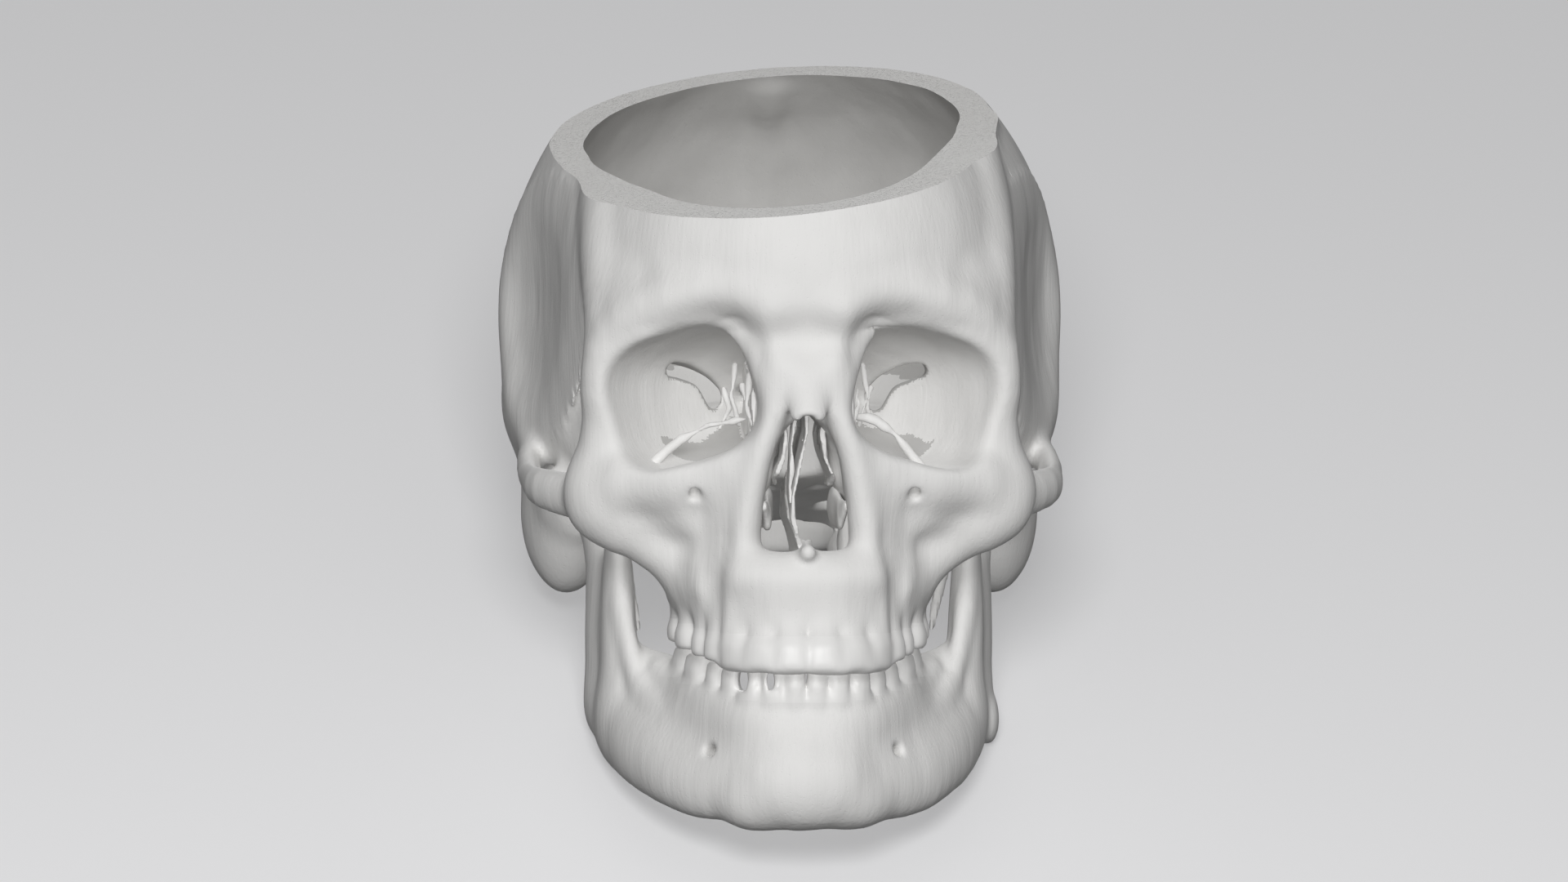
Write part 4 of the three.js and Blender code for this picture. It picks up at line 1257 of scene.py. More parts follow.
@dataclass(frozen=True)
class Crown:
    """A tooth as a form: rings from the tip of the root to the biting edge."""

    tooth: Tooth
    middle: Pair
    tangent: Pair
    squareness: float = 2.6
    rounding: float = 1.2
    hollow: float = 0.9
    margin: float = 6.0

    @property
    def profile(self) -> tuple[tuple[float, ...], ...]:
        """Return the rings of the tooth.

        Returns:
            For each ring its place (root -1, neck 0, edge 1) and its shares of the width and the depth.
        """
        if self.tooth.broad:
            return (
                (-1, 0.4, 0.45), (0, 0.9, 0.88), (0.45, 1.0, 1.0), (0.82, 0.99, 0.94), (1, 0.84, 0.76),
            )
        return (-1, 0.3, 0.35), (0, 0.88, 0.9), (0.45, 1.0, 0.92), (0.85, 1.0, 0.6), (1, 0.95, 0.42)

    @property
    def frame(self) -> tuple[np.ndarray, np.ndarray, np.ndarray]:
        """Return the tooth's own axes.

        Returns:
            The directions along the arch, across the tooth and from its neck to its edge.
        """
        along = np.array([*self.tangent, 0.0])
        out = np.array([self.tangent[1], -self.tangent[0], 0.0])
        if out[0] * self.middle[0] + out[1] * self.middle[1] < 0:
            out = -out
        down = np.array([0.0, 0.0, -1.0 if self.tooth.edge < self.tooth.neck else 1.0])
        lean = math.radians(self.tooth.lean)
        axis = down * math.cos(lean) + out * math.sin(lean)
        across = np.cross(axis, along)
        return along, across / np.linalg.norm(across), axis

    def span(self) -> Span:
        """Return the corners of the box round the form.

        Returns:
            Its lowest and its highest corner.
        """
        reach = self.tooth.root + abs(self.tooth.edge - self.tooth.neck)
        side = max(self.tooth.width, self.tooth.depth) / 2 + self.margin
        low, high = self.tooth.neck - reach, self.tooth.neck + reach
        x, y = self.middle
        return (x - side, y - side, low), (x + side, y + side, high)

    def distance(self, x: np.ndarray, y: np.ndarray, z: np.ndarray) -> np.ndarray:
        """Return how far each point lies from the tooth.

        Args:
            x: Coordinates of the points along x.
            y: Coordinates along y.
            z: Coordinates along z.

        Returns:
            The distances, negative inside.
        """
        along, across, axis = self.frame
        dx, dy, dz = x - self.middle[0], y - self.middle[1], z - self.tooth.neck
        u, v, s = (dx * d[0] + dy * d[1] + dz * d[2] for d in (along, across, axis))
        crown = abs(self.tooth.edge - self.tooth.neck) / math.cos(math.radians(self.tooth.lean))
        heights = [place * (crown if place > 0 else self.tooth.root) for place, _, _ in self.profile]
        wide = np.interp(s, heights, [w * self.tooth.width / 2 for _, w, _ in self.profile])
        deep = np.interp(s, heights, [d * self.tooth.depth / 2 for _, _, d in self.profile])
        power = self.squareness
        near = (np.abs(u / wide) ** power + np.abs(v / deep) ** power) ** (1 / power)
        side = (near - 1) * np.minimum(wide, deep)
        dip = self.hollow * np.maximum(1 - near, 0) if self.tooth.broad else 0.0
        ends = np.maximum(s - crown + dip, -self.tooth.root - s)
        return -blended_union(-side, -ends, self.rounding)


@dataclass(frozen=True)
class Dentition:
    """The teeth of one jaw, from the middle backwards, and the arch that they stand on."""

    jaw: Jaw
    arch: tuple[Pair, ...]
    teeth: tuple[Tooth, ...]
    collar: tuple[Step, ...] = ()
    fusing: float = 2.2
    reach: float = 11.0
    parts: int = 40
    stride: float = 0.5
    inset: float = 0.6
    overhang: float = 1.6

    def sampled(self) -> tuple[np.ndarray, np.ndarray]:
        """Return the arch of the left side in fine steps.

        Returns:
            The points along it, and the distance of each from its start.
        """
        mirrored = (-self.arch[1][0], self.arch[1][1])
        points = through(np.array([mirrored, *self.arch]), self.parts)[self.parts :]
        lengths = np.concatenate([[0], np.cumsum(np.linalg.norm(np.diff(points, axis=0), axis=1))])
        return points, lengths

    def crowns(self) -> Iterator[tuple[Crown, tuple[Pair, Pair, Pair, Pair]]]:
        """Place the teeth of the left side along the arch, side by side.

        Yields:
            Each tooth, with the four corners of its cell in the top view.
        """
        points, lengths = self.sampled()
        last = lengths[-1]
        squeeze = min(1.0, last / sum(tooth.width for tooth in self.teeth))

        def at(length: float) -> np.ndarray:
            """Return the point of the arch at a length."""
            return np.array([np.interp(length, lengths, points[:, n]) for n in range(2)])

        def direction(length: float) -> np.ndarray:
            """Return the direction of the arch at a length."""
            step = at(length + self.stride) - at(max(length - self.stride, 0.0))
            return step / np.linalg.norm(step)

        start = 0.0
        for tooth in self.teeth:
            own = replace(tooth, width=tooth.width * squeeze)
            middle, end = min(start + own.width / 2, last - self.inset), start + own.width
            corners = []
            for length, ways in ((start, (-1, 1)), (min(end, last), (1, -1))):
                heading = direction(length) if length > 0 else np.array([1.0, 0.0])
                out = np.array([heading[1], -heading[0]])
                here = at(length) + heading * max(end - last, 0.0) * (length > start) * self.overhang
                corners += [tuple(here + way * out * self.reach) for way in ways]
            yield Crown(own, tuple(at(middle)), tuple(direction(middle))), tuple(corners)
            start = end

    def steps(self) -> tuple[Step, ...]:
        """Return the steps that add the teeth to their jaw."""
        return tuple(add(self.fusing, crown) for crown, _ in self.crowns()) + self.collar

    def split(self, jaw_bones: dict[Side, Solid], dresser: Dresser, body: Body) -> None:
        """Part the crowns from their bones and dress them.

        Args:
            jaw_bones: The bone that carries the teeth of each side.
            dresser: What finishes the pieces.
            body: The body that they ride on.
        """
        for side, bone in jaw_bones.items():
            for crown, corners in self.crowns():
                tooth = crown.tooth
                depths = sorted((tooth.neck, tooth.edge + (tooth.edge - tooth.neck)))
                cell = Outline(View.TOP, corners, tuple(depths))
                if side is Side.RIGHT:
                    cell = cell.mirrored()
                tool = cell.solid("tooth_cell")
                node = f"{self.jaw.value}_{tooth.name}{side.suffix}"
                piece = bone.copy(node).shape(tool, Shaping.KEEP)
                bone.shape(tool, Shaping.CUT)
                tool.discard()
                dresser.dress(piece, node, body, Slot.TOOTH)


UPPER_TEETH = Dentition(
    jaw=Jaw.UPPER,
    arch=((0, -96.5), (10, -95), (17.8, -88.5), (23.5, -78.5), (27, -67), (28.5, -53)),
    teeth=(
        Tooth("central_incisor", 8.3, 7.0, -50.6, -41.5, 12.0, 24.0, False),
        Tooth("lateral_incisor", 6.6, 6.2, -50.0, -41.5, 12.0, 22.0, False),
        Tooth("canine", 7.3, 7.8, -50.2, -41.0, 14.0, 16.0, False),
        Tooth("first_premolar", 6.8, 8.8, -48.7, -40.5, 11.0, 8.0, True),
        Tooth("second_premolar", 6.6, 8.8, -47.7, -40.0, 11.0, 6.0, True),
        Tooth("first_molar", 9.9, 10.8, -46.2, -39.0, 10.0, 6.0, True),
        Tooth("second_molar", 9.3, 10.4, -44.7, -38.0, 10.0, 6.0, True),
    ),
    collar=(
        add(2, chain(
            (0, -98.4, -46.5, 4, 2.2, 4.2),
            (8, -97.4, -46.5, 4, 2.2, 4.2),
            (15, -93, -46.3, 3, 2.4, 4.2),
            (20, -86.5, -45.8, 2.6, 2.8, 4.2),
        )),
    ),
)

LOWER_TEETH = Dentition(
    jaw=Jaw.LOWER,
    arch=((0, -90.5), (8, -89.2), (14.2, -84.8), (20.3, -76), (25.2, -65.5), (29.3, -50)),
    teeth=(
        Tooth("central_incisor", 5.2, 5.6, -48.9, -58.5, 10.0, 6.0, False),
        Tooth("lateral_incisor", 5.7, 5.8, -48.9, -58.5, 10.0, 5.0, False),
        Tooth("canine", 6.6, 7.4, -49.3, -58.0, 12.0, 2.0, False),
        Tooth("first_premolar", 6.8, 7.6, -49.3, -57.0, 11.0, -4.0, True),
        Tooth("second_premolar", 6.9, 8.0, -48.3, -56.0, 11.0, -6.0, True),
        Tooth("first_molar", 10.6, 10.0, -46.8, -54.5, 10.0, -8.0, True),
        Tooth("second_molar", 10.0, 9.6, -45.3, -53.0, 10.0, -10.0, True),
    ),
    collar=(
        add(1.5, chain(
            (0, -90, -58, 3, 2.4, 3.2),
            (8, -89, -58, 3, 2.4, 3.2),
            (14.2, -84.8, -58, 3, 2.8, 3.2),
        )),
    ),
    fusing=1.2,
)


# ---------------------------------------------------------------------------------------------- bones


@dataclass(frozen=True)
class BoneCut:
    """A bone's name and the outlines that bound it, drawn for the left side."""

    name: str
    outlines: tuple[Outline, ...]
    paired: bool = False

    def cells(self) -> Iterator[tuple[str, Solid]]:
        """Make the solids that bound the bone, on one side or on both.

        Yields:
            The name of each bone, with the solid that bounds it.
        """
        for side in (Side.LEFT, Side.RIGHT) if self.paired else (Side.LEFT,):
            own = [outline if side is Side.LEFT else outline.mirrored() for outline in self.outlines]
            cell = own[0].solid("bone_cell")
            for outline in own[1:]:
                tool = outline.solid("bone_cell_tool")
                cell.shape(tool, Shaping.KEEP)
                tool.discard()
            yield self.name + (side.suffix if self.paired else ""), cell


VAULT = Egg((0, -3, 38), (71.3, 90.5, 78.5))
BRAIN_SPACE = Egg((0, -3, 38.5), (64, 84, 71.5))


@dataclass(frozen=True)
class Braincase:
    """The vault, the base and the ear region."""

    outside: tuple[Step, ...] = (
        add(10, VAULT),
        add(10, ball(0, -45, 52, 54, 51.5, 50)),
        cut(8, Below((40, -25), (-70, 17))),
        add(6, ball(0, 80, 5, 8, 4.5, 4)),
        add(10, ball(50, 10, 12, 19, 33, 17)),
        cut(8, ball(64, -54, 10, 13, 19, 26)),
        # mastoid, ear and joint region
        add(7, ball(54.5, 14, -12.5, 11.5, 14.5, 21.5)),
        add(5, ball(50, 1.5, -10, 11, 4.5, 9)),
        add(4, ball(53, -25, -5, 10, 5, 5.5)),
        add(3, ball(17, 8, -23, 6, 11, 5.5)),
        cut(3, chain((45.5, 8, -26, 2, 4, 4), (45, 30, -17, 2.5, 4, 4))),
        # nuchal lines
        add(6, chain(
            (0, 80, 6, 2, 2, 2),
            (30, 71, 9, 2, 2, 2),
            (52, 48, 6, 2, 2, 2),
        )),
        add(5, chain(
            (0, 58, -14, 2, 2, 2),
            (24, 52, -12, 2, 2, 2),
            (40, 38, -12, 1, 1, 1),
        )),
        # styloid
        add(3, chain(
            (43, 3, -14, 3.5, 3.5, 3.5),
            (40, -3, -30, 1.9, 1.9, 1.9),
            (37.4, -7.4, -42.5, 1, 1, 1),
        )),
    )
    inside: tuple[Step, ...] = (
        cut(4, Dome(BRAIN_SPACE, Below((-50, 26), (34, -12)))),
        cut(4, Dome(Egg((0, -45, 50), (47, 44.5, 47)), Below((-50, 30), (34, -12)))),
        cut(4, ball(31, -24, 18, 20, 20, 18.5)),
        cut(5, ball(17, 34, 8, 30, 28, 25)),
        cut(5, ball(0, 6, 3, 16, 15, 17)),
        cut(3, chain((0, 21.5, -42, 15, 17.8, 10), (0, 19.5, 2, 15, 17.8, 10))),
        add(6, chain((56, 6, 5, 7, 7, 8), (15, -17, 2, 5, 5, 7))),
        add(3, chain((0, -82, 42, 2.8, 5, 6), (0, -62, 31, 2.5, 5, 5))),
        # saddle of the sphenoid and its horns
        cut(3, ball(0, -36, 21, 7, 5.5, 5)),
        add(2, chain((0, -29, 20, 7, 2, 4), (0, -28, 24, 8, 1.8, 1.5))),
        add(2, chain((14, -46, 26, 2.5, 2.5, 2), (9, -38, 26, 1.8, 1.8, 1.5))),
        # crests and furrows of the inner back wall
        add(6, chain(
            (-0.5, 80, 20, 2, 2, 2),
            (0.5, 82.2, 45, 2, 2, 2),
            (-0.5, 77.5, 64, 1.6, 1.6, 1.6),
            (0.5, 71.5, 75, 2, 2, 2),
            (0, 62.8, 85, 1.8, 1.8, 1.8),
            (0.5, 50.5, 95, 1.8, 1.8, 1.8),
        )),
        add(4, chain(
            (0, 74, 12, 3, 3, 3),
            (32, 62, 10, 2, 2, 2),
            (52, 38, 8, 2, 2, 2),
        )),
        # hollow of the temple, with the wall behind it
        add(3, Both(ball(72, -44, 42, 20, 58, 45), VAULT)),
        cut(10, ball(72, -44, 42, 12, 48, 35)),
        # holes of the base
        cut(1.5, chain((24, -24, -30, 3.4, 2.4, 4), (24, -23, 6, 3.4, 2.4, 4))),
        cut(1.5, chain((26, 4, -30, 4.5, 3, 4), (24, 6, 4, 4.5, 3, 4))),
        cut(1.5, chain((27, -7, -30, 3, 3, 4), (24, -10, -8, 3, 3, 4))),
        cut(1.5, chain((10, -14, -26, 3, 4, 4), (11, -16, -2, 3, 4, 4))),
        cut(1, rod(1.4, (36, -16, -26), (34, -16, -6))),
        cut(1, rod(1.6, (50, 17, 18), (30, 0, 16))),
    )
    inner_wall: Egg = replace(BRAIN_SPACE, radii=tuple(radius + 1 for radius in BRAIN_SPACE.radii))
    joint_and_ear: tuple[Step, ...] = (
        cut(2, ball(50, -12, -4.5, 12, 8.2, 8.2)),
        cut(2, ball(49, -8, -14, 10, 6.2, 7.5)),
        cut(1, chain((80, -1, -4.5, 4, 3.4, 4.2), (45, 0, -4.5, 4, 3.4, 4.2))),
    )


@dataclass(frozen=True)
class FaceBones:
    """The brow, the cheeks, the upper jaw, the orbits and the nose."""

    outside: tuple[Step, ...] = (
        # brow and the outer corner of the orbit
        add(7, chain(
            (10, -90.5, 40.5, 6, 5, 5.5),
            (33, -83.5, 43, 6, 5, 5.5),
            (47, -74.5, 33.5, 5, 5, 5.5),
            (51, -70.5, 20, 4.2, 5.5, 5),
        )),
        add(5, chain((47, -70, 14, 4.5, 6, 15), (40, -54, 12, 5, 6, 15))),
        add(8, ball(42, -69, 42, 8, 9, 9)),
        # corner of the forehead, before the hollow of the temple
        add(6, chain(
            (49.5, -71, 27, 4.5, 5, 6),
            (49.8, -66, 38, 5, 6, 8),
            (48, -61, 50, 7, 8, 9),
            (46, -52, 66, 7.5, 9, 10),
            (43.5, -40, 84, 7.5, 12, 10),
            (46, -22, 93, 7.5, 12, 9),
        )),
        # cheek bone and arch
        add(5, ball(47, -67.5, -6, 13, 10.5, 14)),
        add(4, chain((52, -66, -5, 5, 6.5, 5), (50, -70.5, 22, 4.2, 5.5, 5))),
        add(4, chain(
            (53, -63, -8, 4, 5, 6),
            (64, -47, -5.5, 3, 4, 5),
            (66.5, -32, -3, 2.7, 4, 4.3),
            (66, -18, 1, 3, 4, 4.5),
            (63, -5, 5, 3.5, 4, 4),
        )),
        add(5, chain((44, -68, -15, 5, 6, 6), (30, -68, -24, 5, 7, 7))),
        # upper jaw
        add(6, ball(25, -71, 1, 19, 15.5, 21)),
        add(5, chain(
            (20, -84, 0, 5, 5, 5.5),
            (33, -81, -2.5, 5, 5, 5.5),
            (45, -75.5, -3, 5, 5, 5.5),
        )),
        add(7, chain(
            (13, -86, 26, 4, 5, 6),
            (14.5, -85.5, 12, 4, 5, 6),
            (18, -83.5, 0, 5, 6, 6),
            (20, -80, -12, 6, 7, 7),
            (20.5, -79.5, -26, 6, 7, 6),
        )),
        add(5, chain(
            (7, -91, 28, 4, 5, 5),
            (8.5, -91.5, 15, 3.4, 4.5, 5),
            (12, -90, 4, 3.5, 5, 5),
            (15, -87, -10, 4.5, 6.5, 5),
            (16.5, -86, -24, 4.5, 6.5, 5),
        )),
        add(5, chain(
            (0, -90.5, 31, 6, 4.5, 4),
            (0, -94.5, 22, 5, 3.5, 4),
            (0, -98.5, 14.5, 4.4, 3, 3),
        )),
        add(7, chain(
            (0, -93.2, -33, 5.5, 5.2, 12),
            (8, -92.5, -33, 5.5, 5.5, 12),
            (16, -87.5, -33.5, 5.8, 5.5, 11),
            (22.5, -77.5, -31, 6.2, 5.5, 10),
            (26.5, -66, -30, 6.2, 5.5, 10),
            (27.5, -54.5, -28.5, 6.2, 5, 10),
        )),
        add(6, chain((0, -90, -27, 20, 8, 4.5), (0, -55, -27.5, 23, 3, 3.5))),
        # canine ridge and the furrow behind it
        add(4, chain(
            (19.5, -89, -42, 1.8, 1.8, 4),
            (18.3, -89.5, -32, 1.4, 1.4, 4),
            (16.5, -89, -25, 1, 1, 3),
        )),
        cut(5, chain(
            (25.5, -88.5, -39, 2.2, 3, 4),
            (24.5, -91, -28, 2, 3, 4),
            (22.5, -93, -19, 1.2, 2, 3),
        )),
        # plates behind the palate
        add(3, chain((12.5, -45, -4, 2.5, 5, 3), (13.5, -47.5, -34, 2.3, 4, 2))),
        add(3, chain((15, -42, -4, 2.5, 6, 3), (21, -37, -28, 2.2, 5, 2))),
    )
    nasal_spine: tuple[Step, ...] = (
        add(2, chain((0, -92, -22.5, 3, 3, 3), (0, -98.5, -20.5, 2, 2.2, 2))),
        add(1.2, chain((-0.6, -99, -20, 1.1, 1.1, 1.2), (0.8, -88, -18.5, 1, 1, 1.4))),
    )
    openings: tuple[Step, ...] = (
        add(4, ball(30, -62, 29, 22, 26, 11)),
        add(5, chain(
            (9, -83, 43.5, 5, 5, 5),
            (22, -81, 43, 6, 5.5, 5.5),
            (35, -75, 42, 6, 5, 5),
        )),
        cut(9, ball(23, -93, 33, 10, 7, 7)),
        cut(6, ball(0, -99.5, 33.5, 9, 4.5, 4)),
        cut(2.4, Orbit((32.6, -84, 18.2), (13, -40, 16), (20.0, 16.6))),
        cut(1, chain(
            (31.3, -47, 24.7, 1.8, 13, 1.8),
            (27.5, -47, 23.6, 2, 13, 2),
            (23.5, -47, 21.5, 2.2, 13, 2.1),
            (20.5, -47, 17.5, 2.4, 13, 3.4),
        )),
        cut(1, rod(2.2, (14.5, -46, 17.5), (10, -34, 20))),
        # the inner wall of the orbit, with its thin cells
        add(1.5, chain(
            (10.5, -77, 12, 1.8, 4, 9),
            (11.2, -62, 13, 2.4, 8, 9),
            (12, -48, 14, 1.6, 3, 6),
        )),
        cut(0.8, ball(13.5, -72, 17, 2.2, 2.0, 3.2)),
        cut(0.8, ball(13.8, -67.5, 12, 2.2, 1.9, 3.8)),
        cut(0.8, ball(13.6, -63, 17.5, 2.4, 2.0, 3.0)),
        cut(0.8, ball(14.0, -58.5, 12.5, 2.4, 1.9, 3.6)),
        cut(0.8, ball(13.5, -54, 18, 2.2, 1.8, 2.6)),
        cut(1.5, chain(
            (0.5, -105, 12.2, 1.6, 50, 2),
            (0.3, -105, 8.5, 4.8, 50, 3),
            (0, -105, 3.5, 7.4, 50, 4),
            (-0.5, -105, -3, 9.9, 50, 5),
            (-1, -105, -9.5, 11.6, 50, 6),
            (-1, -105, -13, 9.4, 50, 6),
        )),
        cut(2, chain((0, -84, -11, 11.5, 5, 8), (0, -64, -11.5, 12, 4, 9.5))),
        cut(1.5, chain((6.6, -66, -12, 5, 4, 8.5), (6.6, -40, -12.5, 5, 4, 8))),
        cut(3, chain((0, -86, 2, 6, 4, 10), (0, -58, 4, 6.5, 3, 12))),
        # foramen and furrow under the orbit
        cut(1.2, chain((27.2, -92, -8.5, 1.4, 1.4, 2), (28.5, -79, -2.5, 1.2, 1.2, 1.2))),
        cut(6, chain((27.5, -87.5, -14, 1.2, 2, 3), (27, -88, -22, 1.2, 2, 4))),
        # the hollow of the upper jaw
        cut(2, ball(25, -70, -9, 10, 9, 10)),
    )
    one_sided: tuple[Step, ...] = (
        # the broken floors of the orbits
        cut(1, chain(
            (-35, -74, 3, 2, 4, 3),
            (-29, -74.5, 6, 2.4, 4, 3),
            (-22, -74.5, 9, 2, 4, 3),
        )),
        cut(1, chain(
            (20, -74, 9.5, 2, 4, 2.4),
            (26, -74.5, 6.5, 2, 4, 2.6),
            (31.5, -74, 3.5, 2, 4, 2.6),
        )),
    )


BONE_CUTS = (
    BoneCut(
        "ethmoid_bone",
        (Outline(View.FRONT, ((-12.5, 0), (12.5, 0), (12.5, 36), (-12.5, 36)), (49, 83)),),
    ),
    BoneCut(
        "parietal",
        (
            Outline(
                View.SIDE,
                (
                    (-9, 140), (-11, 115), (-27, 85), (-40, 58), (-48, 33), (-42, 27), (-30, 37),
                    (-10, 42), (12, 38), (28, 24), (44, 8), (56, 28), (68, 52), (76, 68), (86, 80),
                    (110, 90), (110, 140),
                ),
                (0, 140),
            ),
        ),
        True,
    ),
    BoneCut(
        "nasal_bone",
        (Outline(View.FRONT, ((0, 32), (5.5, 31.5), (6, 20), (8.5, 2), (0, 2)), (82, 140)),),
        True,
    ),
    BoneCut(
        "frontal_bone",
        (
            Outline(
                View.SIDE,
                (
                    (-9, 140), (-11, 115), (-27, 85), (-40, 58), (-50, 31), (-62, 28), (-66, 22.5),
                    (-80, 21.5), (-84, 30), (-130, 30), (-130, 140),
                ),
            ),
        ),
    ),
    BoneCut(
        "occipital_bone",
        (
            Outline(
                View.TOP,
                (
                    (-9, -14), (9, -14), (13, 2), (25, 13), (42, 29), (62, 44), (120, 60),
                    (120, 140), (-120, 140), (-120, 60), (-62, 44), (-42, 29), (-25, 13), (-13, 2),
                ),
            ),
        ),
    ),
    BoneCut(
        "temporal",
        (
            Outline(
                View.TOP,
                (
                    (9, -12), (13, -25), (30, -28), (40, -34), (46, -42), (58, -44), (62, -42),
                    (120, -36), (120, 120), (9, 120),
                ),
            ),
        ),
        True,
    ),
    BoneCut(
        "sphenoid_bone",
        (
            Outline(
                View.SIDE,
                (
                    (-66, 40), (-65.5, 20), (-65, 2), (-52, 3), (-50, -5), (-52.5, -60), (40, -60),
                    (40, 40),
                ),
            ),
            Outline(View.TOP, ((-55, -120), (55, -120), (55, 40), (-55, 40))),
        ),
    ),
    BoneCut(
        "zygomatic",
        (
            Outline(
                View.FRONT,
                (
                    (34, 6), (36, -1), (40, -12), (44, -25), (44, -60), (120, -60), (120, 50),
                    (34, 50),
                ),
            ),
        ),
        True,
    ),
    BoneCut(
        "lacrimal",
        (Outline(View.SIDE, ((-84, 22), (-84, 5), (-76, 5), (-76, 22)), (5.5, 16)),),
        True,
    ),
    BoneCut(
        "palatine",
        (
            Outline(
                View.SIDE,
                ((-63, -40), (-63, -24), (-56, -20), (-56, 3), (-40, 3), (-40, -40)),
                (0, 20),
            ),
        ),
        True,
    ),
    BoneCut(
        "maxilla",
        (Outline(View.SIDE, ((-140, -120), (40, -120), (40, 60), (-140, 60)), (0, 140)),),
        True,
    ),
)


@dataclass(frozen=True)
class Leaf:
    """A thin, uneven plate of bone: its shape and how ragged it is."""

    form: Form
    ragged: Relief
    pitch: float = 0.45
    blend: float = 0.5
    margin: float = 1.5

    def solid(self, name: str) -> Solid:
        """Return the plate as a solid.

        Args:
            name: The name of the solid.

        Returns:
            The largest body that the raggedness leaves.
        """
        low, high = self.form.span()
        edge = self.margin + 2 * self.ragged.height
        sculpt = Sculpt(tuple(v - edge for v in low), tuple(v + edge for v in high), self.pitch)
        return sculpt.apply([add(self.blend, self.form)]).roughen(self.ragged).skin(name)


@dataclass(frozen=True)
class NoseInside:
    """The thin plates inside the nose: the septum, the vomer and the conchae."""

    bend: tuple[Pair, ...] = (
        (-30, -0.6), (-20, -1.2), (-12, -3.4), (-6, -3.2), (2, -1.6), (10, 0.3), (30, 0.2),
    )
    second_bend: tuple[Pair, ...] = (
        (-9, -3.7), (-4, -4), (0, -3.4), (6, -3.6), (12, -2.6), (22, -1),
    )
    vomer: tuple[Pair, ...] = (
        (-94, -25.5), (-93, -19), (-84, -13), (-66, -5), (-54.5, 0), (-50, -5.5), (-49, -12),
        (-55, -25.5),
    )
    septum: tuple[Pair, ...] = (
        (-88, 17), (-92, 6), (-93, -8), (-92, -16), (-80, -9), (-66, -2), (-56, 3), (-56, 17),
    )
    second_blade: tuple[Pair, ...] = (
        (-86, 15), (-90, 6), (-90.5, -8), (-82, -8), (-78, 4), (-80, 16),
    )
    middle_concha: tuple[Pair, ...] = (
        (-80, 17), (-86, 7), (-85, -1), (-78, -4), (-62, -4), (-57, 5), (-60, 17),
    )
    middle_bend: tuple[Pair, ...] = ((-6, 6.2), (-2, 7.4), (3, 5.4), (9, 4.6), (18, 6))
    concha: tuple[Station, ...] = (
        ((10.4, -86, -9), (0.9, 2, 1.6)),
        ((9.2, -80, -11), (1.2, 4, 4.0)),
        ((8.6, -70, -10), (1.4, 4, 5.0)),
        ((9.0, -58, -11), (1.2, 4, 4.0)),
        ((10.2, -52, -11), (0.9, 2, 2.0)),
    )

    def ethmoid_leaves(self) -> Iterator[Leaf]:
        """Make the plates that belong to the ethmoid bone.

        Yields:
            The septum, the blade beside it and the two middle conchae.
        """
        yield Leaf(Plate(self.septum, self.bend, 1.1), Relief(0.35, (3, 5, 5), 41))
        yield Leaf(Plate(self.second_blade, self.second_bend, 0.9), Relief(0.35, (3, 4, 4), 42))
        for side in Side:
            bend = tuple((z, side.value * x) for z, x in self.middle_bend)
            relief = Relief(0.55, (3, 4, 3.5), 44 + side.value)
            yield Leaf(Plate(self.middle_concha, bend, 1.3), relief)

    def build(self, dresser: Dresser) -> None:
        """Sculpt and dress the plates that are bones of their own.

        Args:
            dresser: What finishes the pieces.
        """
        vomer = Leaf(Plate(self.vomer, self.bend, 1.4), Relief(0.25, (4, 4, 4), 31))
        dresser.dress(vomer.solid("vomer"), "vomer", Body.SKULL, Slot.BONE)
        for side in Side:
            stations = tuple(((side.value * x, y, z), radii) for (x, y, z), radii in self.concha)
            node = f"inferior_concha{side.suffix}"
            leaf = Leaf(Chain(stations), Relief(0.6, (4, 6, 3.5), 33 + side.value), blend=1.0)
            dresser.dress(leaf.solid(node), node, Body.SKULL, Slot.BONE)


